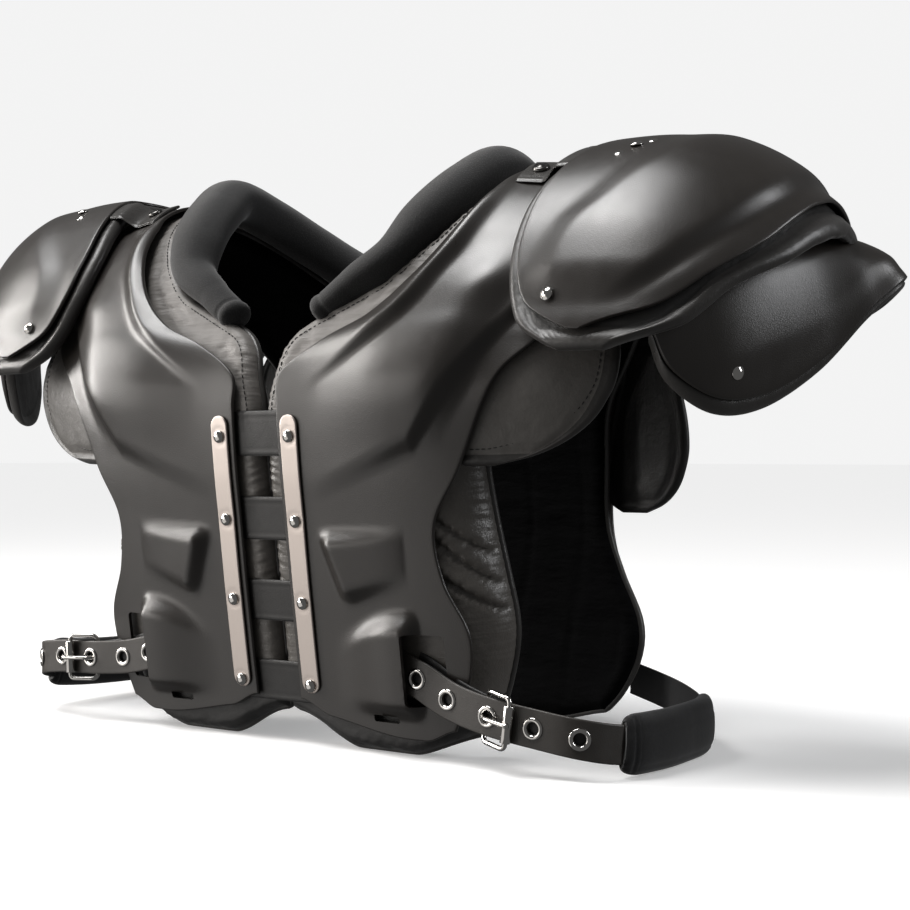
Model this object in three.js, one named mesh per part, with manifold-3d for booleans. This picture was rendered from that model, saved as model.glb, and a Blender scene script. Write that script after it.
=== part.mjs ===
// A football shoulder pad standing on the hems of its chest and back pads.
// Millimetres, +Z up, the wearer's front towards -Y, the wearer's left towards +X.
// The two halves are mirror images apart from how their soft belts hang.
import * as THREE from "three";
import { mergeVertices } from "three/addons/utils/BufferGeometryUtils.js";
import Module from "manifold-3d";

const wasm = await Module();
wasm.setup();

// Driving sizes. Shares in the tables below are shares of the first three.
const HALF_WIDTH = 375; // from the middle to the outermost rim of a shoulder cup
const SHOULDER_HEIGHT = 375; // from the floor to the inside of the shell on the shoulder
const DEPTH = 242; // from the foremost to the rearmost point of the shells
const SHELL_WALL = 2.8;
const PAD_WALL = 18; // body pads, front and back
const LAYER_GAP = 0.4;
const WEBBING_WALL = 1.8;
const BELT_WIDTH = 23.5;
const BELT_WALL = 2;
const FLAT_HALF = 92; // the plates are flat across up to here, then bend back
const BEND = 0.0014; // how fast they bend back, per millimetre
const PAD_WRAP = 19; // how far the outer side of a body pad wraps back
const STRIP_WIDTH = 14;
const STRIP_WALL = 1.5;
const STRIP_MIDDLE = 29.6; // distance of a strip's middle line from the centre
const RIVET_RADIUS = 4;
const RIVET_HEIGHT = 2.2;
const SNAP_RADIUS = 5.5;
const SNAP_HEIGHT = 2.6;
const BOX_RISE = 7.5; // raised boxes pressed into the chest plates
const BLOCK_RISE = 9.5; // raised belt blocks pressed into the chest plates
const CHEST_RISE = 4.5; // swelling of the upper chest
const RIDGE_RISE = 5.6; // crest of the chest plates beside the neck
const CHANNEL_DEPTH = 6.5; // channel of the chest plates beside the arm
const PANEL_RISE = 3.4; // raised panel of an epaulet
const GROOVE_DEPTH = 4.6; // groove of an epaulet beyond its panel
const EPAULET_PAD_WALL = 7;
const CUP_WALL = 2.6;
const CUP_PAD_WALL = 6;
const FLAP_WALL = 7;
const ROLL_HALF_WIDTH = 19.5;
const ROLL_HALF_HEIGHT = 16;
const SLEEVE_WALL = 15;
const SLEEVE_WIDTH = 36;

// Turns rows of a table with named columns into one list for each column.
function columns(names, rows) {
  const out = {};
  names.split(" ").forEach((name, i) => {
    out[name] = rows.map((row) => row[i]);
  });
  return out;
}

// Smooth curve through the values at the given stations.
function smooth(at, values, x) {
  const last = at.length - 1;
  const c = Math.min(Math.max(x, at[0]), at[last]);
  let i = 0;
  while (i < last - 1 && c > at[i + 1]) i += 1;
  const slope = (k) => {
    const a = Math.max(k - 1, 0);
    const b = Math.min(k + 1, last);
    return (values[b] - values[a]) / (at[b] - at[a]);
  };
  const h = at[i + 1] - at[i];
  const t = (c - at[i]) / h;
  const t2 = t * t;
  const t3 = t2 * t;
  return (
    (2 * t3 - 3 * t2 + 1) * values[i] +
    (t3 - 2 * t2 + t) * h * slope(i) +
    (3 * t2 - 2 * t3) * values[i + 1] +
    (t3 - t2) * h * slope(i + 1)
  );
}

const clamp = (x, a = 0, b = 1) => Math.min(Math.max(x, a), b);
const step = (a, b, x) => {
  const t = clamp((x - a) / (b - a));
  return t * t * (3 - 2 * t);
};
const mix = (a, b, t) => a + (b - a) * t;

// Sections from the front hem over the shoulder to the back hem. depth is a share of DEPTH,
// height of SHOULDER_HEIGHT; the rest are shares of HALF_WIDTH: the inner and outer edge of
// the hard shell and of the soft body pad.
const SECTION = columns("depth height shellIn shellOut padIn padOut", [
  [0.086, 0.0, 0.054, 0.342, 0.0136, 0.36],
  [0.071, 0.074, 0.049, 0.377, 0.0036, 0.407],
  [0.052, 0.152, 0.049, 0.404, 0.0036, 0.436],
  [0.037, 0.216, 0.049, 0.406, 0.0036, 0.446],
  [0.018, 0.299, 0.049, 0.368, 0.0036, 0.436],
  [-0.001, 0.392, 0.049, 0.36, 0.0036, 0.422],
  [-0.02, 0.48, 0.049, 0.41, 0.0036, 0.414],
  [-0.035, 0.588, 0.049, 0.458, 0.0086, 0.417],
  [-0.03, 0.642, 0.054, 0.487, 0.0206, 0.436],
  [-0.01, 0.694, 0.137, 0.537, 0.0356, 0.49],
  [0.011, 0.728, 0.225, 0.561, 0.0676, 0.52],
  [0.046, 0.787, 0.299, 0.579, 0.1996, 0.544],
  [0.104, 0.858, 0.35, 0.593, 0.2826, 0.564],
  [0.192, 0.931, 0.382, 0.603, 0.3366, 0.574],
  [0.304, 0.98, 0.407, 0.608, 0.3666, 0.578],
  [0.437, 1.0, 0.412, 0.608, 0.3756, 0.578],
  [0.57, 0.985, 0.4, 0.603, 0.3636, 0.574],
  [0.692, 0.941, 0.363, 0.588, 0.3266, 0.559],
  [0.806, 0.863, 0.289, 0.554, 0.2486, 0.525],
  [0.875, 0.779, 0.172, 0.495, 0.1306, 0.48],
  [0.913, 0.699, 0.069, 0.415, 0.0276, 0.431],
  [0.939, 0.6, 0.049, 0.355, 0.0086, 0.373],
  [0.947, 0.49, 0.049, 0.345, 0.0036, 0.365],
  [0.943, 0.368, 0.049, 0.345, 0.0036, 0.37],
  [0.935, 0.282, 0.049, 0.37, 0.0036, 0.405],
  [0.924, 0.191, 0.049, 0.415, 0.0036, 0.455],
  [0.913, 0.123, 0.049, 0.415, 0.0036, 0.455],
  [0.897, 0.054, 0.054, 0.378, 0.0036, 0.42],
  [0.882, 0.0, 0.059, 0.335, 0.0136, 0.365],
]);
const SECTION_Y = SECTION.depth.map((d) => d * DEPTH);
const SECTION_Z = SECTION.height.map((h) => h * SHOULDER_HEIGHT);

// Where along the side profile each section is, as a share of the profile's length.
const ALONG = SECTION_Y.map(() => 0);
for (let i = 1; i < ALONG.length; i += 1) {
  const dy = SECTION_Y[i] - SECTION_Y[i - 1];
  const dz = SECTION_Z[i] - SECTION_Z[i - 1];
  ALONG[i] = ALONG[i - 1] + Math.hypot(dy, dz);
}
const PROFILE_LENGTH = ALONG[ALONG.length - 1];
ALONG.forEach((length, i) => {
  ALONG[i] = length / PROFILE_LENGTH;
});
const TOP_ALONG = ALONG[SECTION.height.indexOf(1)];

const edge = (name) => (s) => smooth(ALONG, SECTION[name], s) * HALF_WIDTH;
const shellIn = edge("shellIn");
const shellOut = edge("shellOut");
const padIn = edge("padIn");
const padOut = edge("padOut");
const profileY = (s) => smooth(ALONG, SECTION_Y, s);
const profileZ = (s) => smooth(ALONG, SECTION_Z, s);

// The side profile's outward normal in the YZ plane.
function profileNormal(s) {
  const e = 0.004;
  const a = clamp(s - e);
  const b = clamp(s + e);
  const dy = profileY(b) - profileY(a);
  const dz = profileZ(b) - profileZ(a);
  const length = Math.hypot(dy, dz);
  return [-dz / length, dy / length];
}

// The share of the profile at which the front (or back) stands at a height.
function alongAt(height, back = false) {
  let low = back ? TOP_ALONG : 0;
  let high = back ? 1 : TOP_ALONG;
  for (let i = 0; i < 40; i += 1) {
    const middle = (low + high) / 2;
    if (profileZ(middle) < height !== back) low = middle;
    else high = middle;
  }
  return (low + high) / 2;
}

// How far the plates have bent away from flat at x, and how steeply.
function bend(x, s) {
  const upright = Math.abs(profileNormal(s)[0]);
  const rate = BEND * (0.3 + 0.7 * upright);
  const reach = Math.max(0, x - FLAT_HALF);
  return [rate * reach * reach, 2 * rate * reach];
}

// A point lift millimetres outside the body's form, at x and share s of the side profile.
function onBody(x, s, lift, sag = 0) {
  const [ny, nz] = profileNormal(s);
  const [drop, slope] = bend(x, s);
  const k = 1 / Math.hypot(1, slope);
  const out = lift * k - drop - sag;
  return new THREE.Vector3(x + lift * slope * k, profileY(s) + ny * out, profileZ(s) + nz * out);
}

// Relief pressed into a chest plate, at x and height z, both as real millimetres.
function ramp(x, z, [ax, az], [bx, bz], width) {
  const length = Math.hypot(bx - ax, bz - az);
  const away = ((bx - ax) * (z - az) - (bz - az) * (x - ax)) / length;
  return clamp(away / width);
}
const part = (share) => share * SHOULDER_HEIGHT;
const corner = (x, z) => [x * HALF_WIDTH, part(z)];
const BOX = {
  topIn: corner(0.112, 0.38),
  topOut: corner(0.27, 0.388),
  lowIn: corner(0.163, 0.243),
  lowOut: corner(0.3, 0.285),
};
const SLOT = { in: 0.293 * HALF_WIDTH, out: 0.361 * HALF_WIDTH, low: part(0.09), top: part(0.21) };
const BLOCK_TOP = [corner(0.14, 0.2), corner(0.235, 0.245), corner(0.32, 0.252), corner(0.365, 0.225)];

function boxRelief(x, z) {
  const inner = ramp(x, z, BOX.topIn, BOX.lowIn, 13);
  const top = ramp(x, z, BOX.topOut, BOX.topIn, 11);
  const low = ramp(x, z, BOX.lowIn, BOX.lowOut, 12);
  const face = Math.pow(clamp((0.3 * HALF_WIDTH - x) / (0.15 * HALF_WIDTH)), 0.8);
  return BOX_RISE * inner * top * low * face;
}

function blockTop(x) {
  const xs = BLOCK_TOP.map((p) => p[0]);
  const zs = BLOCK_TOP.map((p) => p[1]);
  return smooth(xs, zs, x);
}

function blockRelief(x, z) {
  const top = step(0, 15, blockTop(x) - z);
  const low = step(0, 14, z - part(0.062));
  const inner = step(0, 1, (x - 0.13 * HALF_WIDTH) / (0.15 * HALF_WIDTH));
  const outer = step(0, 10, SLOT.in + 9.4 - x);
  return BLOCK_RISE * top * low * inner * outer;
}

// Folds of the upper chest, by height: a crest beside the neck edge and its foot, both from a
// pointed tip, and a channel beside the arm edge from its brow to its valley.
const FOLDS = columns("height crest foot brow valley", [
  [0.54, 0.02, 0.03, 0.35, 0.388],
  [0.589, 0.085, 0.09, 0.365, 0.418],
  [0.619, 0.12, 0.125, 0.38, 0.435],
  [0.65, 0.17, 0.19, 0.39, 0.45],
  [0.682, 0.218, 0.247, 0.402, 0.46],
  [0.712, 0.261, 0.294, 0.41, 0.47],
  [0.752, 0.304, 0.33, 0.425, 0.483],
  [0.79, 0.331, 0.358, 0.445, 0.495],
  [0.84, 0.363, 0.39, 0.46, 0.51],
  [0.906, 0.386, 0.416, 0.48, 0.53],
  [0.952, 0.396, 0.432, 0.49, 0.54],
]);

// Nothing before a place, then a slope of one, with the bend rounded over soft millimetres.
function hinge(x, at, soft) {
  const t = (x - at) / soft;
  return soft * (Math.max(t, 0) + Math.log1p(Math.exp(-Math.abs(t))));
}

// The swollen upper chest ends at a crease that rises from the strip to the outer edge.
function chestRelief(x, s, z) {
  const crease = mix(part(0.425), part(0.5), clamp((x - 0.13 * HALF_WIDTH) / (0.2 * HALF_WIDTH)));
  const steeper = Math.max(0, x - 0.33 * HALF_WIDTH) * 1.3;
  const swell = step(0, 15, z - crease - steeper);
  const height = z / SHOULDER_HEIGHT;
  const fade = 1 - step(0.86, 1, height);
  const chest = CHEST_RISE * swell * fade * step(0.09 * HALF_WIDTH, 0.3 * HALF_WIDTH, x);
  const read = (name) => smooth(FOLDS.height, FOLDS[name], height) * HALF_WIDTH;
  const [crest, foot, brow, valley] = [read("crest"), read("foot"), read("brow"), read("valley")];
  const neck = Math.min(shellIn(s), crest - 3);
  const rise = RIDGE_RISE * step(0.6, 0.73, height) * (1 - 0.6 * step(0.88, 0.99, height));
  const up = rise / (crest - neck);
  const down = rise / Math.max(foot - crest, 2.5);
  const ridge = up * hinge(x, neck, 0.5) - (up + down) * hinge(x, crest, 1.3) + down * hinge(x, foot, 2);
  const depth = CHANNEL_DEPTH * step(0.5, 0.64, height) * (1 - step(0.76, 0.86, height));
  const fall = depth / (valley - brow);
  const backUp = (0.35 * depth) / Math.max(shellOut(s) - valley, 5);
  const start = Math.max(foot, 0.14 * HALF_WIDTH);
  const slope = depth / (brow - start);
  const hump = slope * hinge(x, start, 2) - (slope + fall) * hinge(x, brow, 3.5);
  return chest + ridge + hump + (fall + backUp) * hinge(x, valley, 1.5);
}

function shellRelief(x, s) {
  if (s > TOP_ALONG) return 0;
  const z = profileZ(s);
  const fade = 1 - step(TOP_ALONG - 0.03, TOP_ALONG, s);
  return fade * (boxRelief(x, z) + blockRelief(x, z) + chestRelief(x, s, z));
}

// A closed mesh between an outer and an inner grid of points.
function sheet(rows, cols, at) {
  const points = [];
  for (const side of [1, -1])
    for (let j = 0; j <= rows; j += 1)
      for (let i = 0; i <= cols; i += 1) points.push(at(j / rows, i / cols, side));
  const id = (side, j, i) => (side > 0 ? 0 : (rows + 1) * (cols + 1)) + j * (cols + 1) + i;
  const faces = [];
  const quad = (a, b, c, d) => faces.push(a, b, c, a, c, d);
  for (let j = 0; j < rows; j += 1)
    for (let i = 0; i < cols; i += 1) {
      quad(id(1, j, i), id(1, j, i + 1), id(1, j + 1, i + 1), id(1, j + 1, i));
      quad(id(-1, j, i), id(-1, j + 1, i), id(-1, j + 1, i + 1), id(-1, j, i + 1));
    }
  for (let i = 0; i < cols; i += 1) {
    quad(id(-1, 0, i), id(-1, 0, i + 1), id(1, 0, i + 1), id(1, 0, i));
    quad(id(1, rows, i), id(1, rows, i + 1), id(-1, rows, i + 1), id(-1, rows, i));
  }
  for (let j = 0; j < rows; j += 1) {
    quad(id(1, j, 0), id(1, j + 1, 0), id(-1, j + 1, 0), id(-1, j, 0));
    quad(id(-1, j, cols), id(-1, j + 1, cols), id(1, j + 1, cols), id(1, j, cols));
  }
  return closed(points, faces);
}

// A geometry from points and faces, turned so that its faces look outwards.
function closed(points, faces) {
  let volume = 0;
  for (let i = 0; i < faces.length; i += 3) {
    const [a, b, c] = [points[faces[i]], points[faces[i + 1]], points[faces[i + 2]]];
    volume += a.dot(new THREE.Vector3().crossVectors(b, c));
  }
  if (volume < 0)
    for (let i = 0; i < faces.length; i += 3)
      [faces[i + 1], faces[i + 2]] = [faces[i + 2], faces[i + 1]];
  const geometry = new THREE.BufferGeometry().setFromPoints(points);
  geometry.setIndex(faces);
  return geometry;
}

// A tube with an elliptic section along points; size(t) gives half width and half height.
function tube(path, rows, sides, size, up) {
  const curve = new THREE.CatmullRomCurve3(path, false, "centripetal");
  const points = [];
  for (let j = 0; j <= rows; j += 1) {
    const t = j / rows;
    const centre = curve.getPointAt(t);
    const along = curve.getTangentAt(t);
    const wide = new THREE.Vector3().crossVectors(up(t), along).normalize();
    const tall = new THREE.Vector3().crossVectors(along, wide).normalize();
    const [halfWidth, halfHeight] = size(t);
    for (let i = 0; i < sides; i += 1) {
      const angle = (2 * Math.PI * i) / sides;
      points.push(
        centre
          .clone()
          .addScaledVector(wide, halfWidth * Math.cos(angle))
          .addScaledVector(tall, halfHeight * Math.sin(angle)),
      );
    }
  }
  const faces = [];
  for (let j = 0; j < rows; j += 1)
    for (let i = 0; i < sides; i += 1) {
      const k = (i + 1) % sides;
      const [a, b, c, d] = [j * sides + i, j * sides + k, (j + 1) * sides + k, (j + 1) * sides + i];
      faces.push(a, b, c, a, c, d);
    }
  for (let i = 1; i < sides - 1; i += 1) {
    faces.push(0, i + 1, i);
    const end = rows * sides;
    faces.push(end, end + i, end + i + 1);
  }
  return closed(points, faces);
}

// A flat band along points: width(t) across, wall thick, its width lying along up(t).
function band(path, rows, width, wall, up, from = 0, to = 1) {
  const curve = new THREE.CatmullRomCurve3(path, false, "centripetal");
  return sheet(rows, 1, (v, u, side) => {
    const t = mix(from, to, v);
    const along = curve.getTangentAt(t);
    const face = new THREE.Vector3().crossVectors(along, up(t)).normalize();
    const across = new THREE.Vector3().crossVectors(face, along).normalize();
    return curve
      .getPointAt(t)
      .addScaledVector(across, (u - 0.5) * width(t))
      .addScaledVector(face, side * wall * 0.5);
  });
}

// A domed rivet head on a point, standing along a direction.
function dome(point, direction, radius, height, sides = 8) {
  const outline = [
    [0, 0],
    [radius, 0],
    [radius * 0.8, height * 0.62],
    [0, height],
  ].map(([r, h]) => new THREE.Vector2(r, h));
  const head = new THREE.LatheGeometry(outline, sides);
  const turn = new THREE.Quaternion().setFromUnitVectors(
    new THREE.Vector3(0, 1, 0),
    direction.clone().normalize(),
  );
  head.applyQuaternion(turn).translate(point.x, point.y, point.z);
  return head;
}

// Where a rivet sits on a surface: the place met when coming in along a direction.
const probe = new THREE.Mesh(new THREE.BufferGeometry(), new THREE.MeshBasicMaterial({ side: THREE.DoubleSide }));
function seat(geometry, point, out, gap) {
  probe.geometry = geometry;
  const direction = out.clone().normalize();
  const start = point.clone().addScaledVector(direction, 25);
  const hit = new THREE.Raycaster(start, direction.clone().negate()).intersectObject(probe)[0];
  const normal = hit.face.normal.clone();
  if (normal.dot(direction) < 0) normal.negate();
  return { point: hit.point.clone().addScaledVector(normal, gap), normal };
}

// Solids for cutting and joining.
function solid(geometry) {
  const bare = new THREE.BufferGeometry();
  bare.setAttribute("position", geometry.getAttribute("position").clone());
  if (geometry.index) bare.setIndex(geometry.index.clone());
  const merged = mergeVertices(bare.index ? bare.toNonIndexed() : bare, 1e-3);
  const kept = [];
  const source = merged.index.array;
  for (let i = 0; i < source.length; i += 3) {
    const [a, b, c] = [source[i], source[i + 1], source[i + 2]];
    if (a !== b && b !== c && a !== c) kept.push(a, b, c);
  }
  const mesh = new wasm.Mesh({
    numProp: 3,
    vertProperties: merged.attributes.position.array,
    triVerts: new Uint32Array(kept),
  });
  return new wasm.Manifold(mesh);
}

function geometryOf(body) {
  const pieces = body.decompose().sort((a, b) => b.volume() - a.volume());
  const mesh = pieces[0].getMesh();
  const positions = [];
  for (let i = 0; i < mesh.numVert; i += 1)
    positions.push(...mesh.vertProperties.subarray(i * mesh.numProp, i * mesh.numProp + 3));
  const geometry = new THREE.BufferGeometry();
  geometry.setAttribute("position", new THREE.Float32BufferAttribute(positions, 3));
  geometry.setIndex([...mesh.triVerts]);
  return geometry;
}

function cut(geometry, tools) {
  let body = solid(geometry);
  for (const tool of tools) body = body.subtract(solid(tool));
  return geometryOf(body);
}

function block(low, high) {
  const size = high.map((h, i) => h - low[i]);
  const middle = high.map((h, i) => (h + low[i]) / 2);
  return new THREE.BoxGeometry(...size).translate(...middle);
}

// Finishes.
const FINISH = {
  shell: { color: 0x46423e, roughness: 0.35, metalness: 0 },
  nylon: { color: 0x6b6864, roughness: 0.55, metalness: 0 },
  neoprene: { color: 0x403f40, roughness: 0.9, metalness: 0 },
  webbing: { color: 0x2b2a29, roughness: 0.8, metalness: 0 },
  steel: { color: 0xd4c2b6, roughness: 0.25, metalness: 1 },
  chrome: { color: 0xc9c6c4, roughness: 0.15, metalness: 1 },
};
const root = new THREE.Group();

function add(name, geometry, finish) {
  const mesh = new THREE.Mesh(geometry, new THREE.MeshStandardMaterial(FINISH[finish]));
  mesh.name = name;
  root.add(mesh);
}

function mirrored(geometry) {
  const copy = geometry.clone().scale(-1, 1, 1);
  const index = copy.index ? [...copy.index.array] : [...Array(copy.attributes.position.count).keys()];
  for (let i = 0; i < index.length; i += 3) [index[i + 1], index[i + 2]] = [index[i + 2], index[i + 1]];
  copy.setIndex(index);
  return copy;
}

function addBoth(name, geometry, finish) {
  add("left_" + name, geometry, finish);
  add("right_" + name, mirrored(geometry), finish);
}

// Hard arch shells: chest plate, shoulder and back plate in one pressing.
const HEM = { front: 0.062, frontRise: 0.05, back: 0.05 };
const frontHem = (u) =>
  part(HEM.front - 0.03 * step(0, 0.75, u) + 0.02 * step(0.85, 1, u) + HEM.frontRise * 0.4 * (1 - step(0, 0.2, u)));
const SHELL_ROWS = 30;
const SHELL_COLS = 11;
function shellAlong(v) {
  const frontShare = 0.62; // more rows where the relief is
  return v < frontShare ? (v / frontShare) * 0.36 : 0.36 + ((v - frontShare) / (1 - frontShare)) * 0.64;
}
function shellSheet(grow) {
  return sheet(SHELL_ROWS, SHELL_COLS, (v, u, side) => {
    const low = alongAt(frontHem(u));
    const high = alongAt(part(HEM.back), true);
    const s = mix(low, high, shellAlong(v));
    const x = mix(shellIn(s), shellOut(s), u);
    const lift = side > 0 ? SHELL_WALL : 0;
    return onBody(x, s, lift + shellRelief(x, s) + (side > 0 ? grow : -grow));
  });
}
const slotTool = block([SLOT.in, -60, SLOT.low], [SLOT.out, 60, SLOT.top]);
const SMALL_SLOT = { x: 0.235 * HALF_WIDTH, z: part(0.063), width: 20, height: 4.5 };
const smallSlotTool = block(
  [SMALL_SLOT.x - SMALL_SLOT.width / 2, -60, SMALL_SLOT.z - SMALL_SLOT.height / 2],
  [SMALL_SLOT.x + SMALL_SLOT.width / 2, 60, SMALL_SLOT.z + SMALL_SLOT.height / 2],
);
const archShell = cut(shellSheet(0), [slotTool, smallSlotTool]);
addBoth("arch_shell", archShell, "shell");

// Panels on the body's form whose outline is a short table of s, inner and outer edge.
function outline(rows) {
  const table = columns("at inner outer", rows);
  const inner = (s) => smooth(table.at, table.inner, s) * HALF_WIDTH;
  const outer = (s) => smooth(table.at, table.outer, s) * HALF_WIDTH;
  return { table, inner, outer, from: table.at[0], to: table.at[table.at.length - 1] };
}

// Half thickness of a padded panel: full in the middle, rounded off at the rim.
function padded(distance, half, rim) {
  const t = clamp(distance / rim, 0.06, 1);
  return half * Math.sqrt(1 - (1 - t) * (1 - t));
}

function padPanel(form, rows, cols, middle, half, rim, grow = 0) {
  const length = (form.to - form.from) * PROFILE_LENGTH;
  return sheet(rows, cols, (v, u, side) => {
    const lengthwise = 0.5 - 0.5 * Math.cos(Math.PI * v);
    const s = mix(form.from, form.to, lengthwise) + (grow / PROFILE_LENGTH) * (2 * v - 1);
    const a = form.inner(s) - grow;
    const b = form.outer(s) + grow;
    const crosswise = 0.5 - 0.5 * Math.cos(Math.PI * u);
    const distance = Math.min(
      crosswise * (b - a),
      (1 - crosswise) * (b - a),
      lengthwise * length,
      (1 - lengthwise) * length,
    );
    const lift = middle + side * (padded(distance, half, rim) + grow);
    return form.place(mix(a, b, crosswise), s, lift);
  });
}

// Front and rear flaps under the epaulets.
const frontFlap = outline([
  [0.21, 0.42, 0.462],
  [0.217, 0.37, 0.535],
  [0.23, 0.345, 0.595],
  [0.248, 0.345, 0.634],
  [0.275, 0.345, 0.655],
  [0.31, 0.345, 0.656],
  [0.335, 0.36, 0.64],
]);
const rearFlap = outline([
  [0.68, 0.4, 0.47],
  [0.7, 0.39, 0.5],
  [0.74, 0.36, 0.527],
  [0.775, 0.34, 0.535],
  [0.797, 0.336, 0.523],
  [0.811, 0.34, 0.505],
  [0.822, 0.352, 0.475],
  [0.829, 0.38, 0.435],
]);
const FLAP_MIDDLE = -LAYER_GAP - 1 - FLAP_WALL / 2;
for (const form of [frontFlap, rearFlap]) form.place = (x, s, lift) => onBody(x, s, lift);
const flapGeometry = (form, grow) => padPanel(form, 6, 5, FLAP_MIDDLE, FLAP_WALL / 2, 5, grow);
addBoth("front_flap", flapGeometry(frontFlap, 0), "nylon");
addBoth("rear_flap", flapGeometry(rearFlap, 0), "webbing");

// Neck rolls.
const ROLL = columns("x y z wide", [
  [0.088, 0.055, 0.742, 0.3],
  [0.125, 0.06, 0.766, 0.62],
  [0.167, 0.068, 0.797, 0.78],
  [0.228, 0.1, 0.838, 0.95],
  [0.262, 0.17, 0.9, 1],
  [0.292, 0.285, 0.962, 1],
  [0.312, 0.4, 1.0, 1],
  [0.3, 0.551, 0.975, 1],
  [0.257, 0.684, 0.925, 1],
  [0.191, 0.787, 0.87, 1],
  [0.123, 0.844, 0.84, 0.95],
  [0.05, 0.87, 0.825, 0.7],
]);
const rollPath = ROLL.x.map(
  (x, i) => new THREE.Vector3(x * HALF_WIDTH, ROLL.y[i] * DEPTH, ROLL.z[i] * SHOULDER_HEIGHT),
);
const rollStations = ROLL.wide.map((w, i) => i / (ROLL.wide.length - 1));
function neckRoll(grow) {
  const size = (t) => {
    const share = smooth(rollStations, ROLL.wide, t);
    return [ROLL_HALF_WIDTH * share + grow, ROLL_HALF_HEIGHT * share + grow];
  };
  return tube(rollPath, 12, 10, size, () => new THREE.Vector3(0, 0, 1));
}
addBoth("neck_roll", neckRoll(0), "neoprene");

// Link straps between the halves lie between the shells and the body pads.
const LINK_HALF = 38;
const LINK = columns("at height back", [
  [0.54, 0.078, 0],
  [0.393, 0.075, 0],
  [0.25, 0.072, 0],
  [0.108, 0.072, 0],
  [0.51, 0.09, 1],
  [0.36, 0.09, 1],
  [0.16, 0.09, 1],
]);
LINK.at.forEach((share, i) => {
  const back = LINK.back[i] === 1;
  const half = (LINK.height[i] * SHOULDER_HEIGHT) / 2;
  const s0 = alongAt(part(share) - half, back);
  const s1 = alongAt(part(share) + half, back);
  const strap = sheet(2, 2, (v, u, side) => {
    const lift = -2 * LAYER_GAP - WEBBING_WALL / 2 + (side * WEBBING_WALL) / 2;
    const p = onBody(0, mix(s0, s1, v), lift);
    p.x = mix(-LINK_HALF, LINK_HALF, u);
    return p;
  });
  const name = back ? "back_link_strap_" + (i - 3) : "front_link_strap_" + (i + 1);
  add(name, strap, "webbing");
});

// Belts: a holed belt from the slot, a short return layer behind it, a padded sleeve, and
// webbing back to the back panel. Heights differ because the soft belts hang differently.
const BELT = columns("x y leftZ rightZ", [
  [0.262, 0.04, 0.152, 0.15],
  [0.31, 0.04, 0.136, 0.138],
  [0.37, 0.04, 0.108, 0.126],
  [0.446, 0.032, 0.09, 0.12],
  [0.53, 0.036, 0.078, 0.117],
  [0.61, 0.06, 0.066, 0.107],
  [0.65, 0.14, 0.055, 0.092],
  [0.665, 0.28, 0.051, 0.08],
  [0.665, 0.42, 0.05, 0.075],
  [0.655, 0.56, 0.051, 0.074],
  [0.61, 0.68, 0.056, 0.076],
  [0.54, 0.79, 0.064, 0.08],
  [0.46, 0.88, 0.072, 0.085],
  [0.38, 0.955, 0.08, 0.09],
]);
const BELT_HOLES = [0.044, 0.106, 0.183, 0.26, 0.332];
const BUCKLE_AT = 0.202;
const BELT_END = 0.46;
const SLEEVE_FROM = 0.4;
const SLEEVE_TO = 0.69;
const HOLE_RADIUS = 3.6;
const upright = () => new THREE.Vector3(0, 0, 1);

function beltPath(heights, mirror) {
  return BELT.x.map(
    (x, i) =>
      new THREE.Vector3(mirror * x * HALF_WIDTH, BELT.y[i] * DEPTH, heights[i] * SHOULDER_HEIGHT),
  );
}

function sleeveSheet(path, width, wall) {
  const curve = new THREE.CatmullRomCurve3(path, false, "centripetal");
  return sheet(8, 4, (v, u, side) => {
    const t = mix(SLEEVE_FROM, SLEEVE_TO, v);
    const along = curve.getTangentAt(t);
    const face = new THREE.Vector3().crossVectors(along, upright()).normalize();
    const across = new THREE.Vector3().crossVectors(face, along).normalize();
    const roundEnds = clamp(Math.min(v, 1 - v) / 0.08, 0.3, 1);
    const roundSides = [0.35, 0.85, 1, 0.85, 0.35][Math.round(u * 4)];
    return curve
      .getPointAt(t)
      .addScaledVector(across, (u - 0.5) * width * mix(0.86, 1, roundEnds))
      .addScaledVector(face, side * wall * 0.5 * roundSides * mix(0.8, 1, roundEnds));
  });
}

function buckleFrame(path, t, mirror) {
  const curve = new THREE.CatmullRomCurve3(path, false, "centripetal");
  const centre = curve.getPointAt(t);
  const along = curve.getTangentAt(t);
  const face = new THREE.Vector3().crossVectors(along, upright()).normalize();
  const across = new THREE.Vector3().crossVectors(face, along).normalize();
  const turn = new THREE.Matrix4().makeBasis(along, across, face.clone());
  const tall = BELT_WIDTH / 2 + 4.4;
  const long = 11;
  const wire = 1.9;
  const bar = (low, high) => solid(block(low, high));
  const lift = BELT_WALL / 2 + LAYER_GAP + wire;
  let frame = bar([-long, -tall, lift - wire], [long, -tall + 2 * wire, lift + wire]);
  frame = frame.add(bar([-long, tall - 2 * wire, lift - wire], [long, tall, lift + wire]));
  frame = frame.add(bar([-long, -tall, lift - wire], [-long + 2 * wire, tall, lift + wire]));
  frame = frame.add(bar([long - 2 * wire, -tall, lift - wire], [long, tall, lift + wire]));
  frame = frame.add(bar([-1.5, -tall + wire, lift - 1], [1.5, tall - wire, lift + 1]));
  frame = frame.add(bar([-0.5, -1.3, lift - 1], [long + 1, 1.3, lift + wire + 1.4]));
  const geometry = geometryOf(frame);
  const flip = turn.determinant() < 0;
  geometry.applyMatrix4(turn).translate(centre.x, centre.y, centre.z);
  if (!flip) return geometry;
  const index = [...geometry.index.array];
  for (let i = 0; i < index.length; i += 3) [index[i + 1], index[i + 2]] = [index[i + 2], index[i + 1]];
  geometry.setIndex(index);
  return geometry;
}

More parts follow.
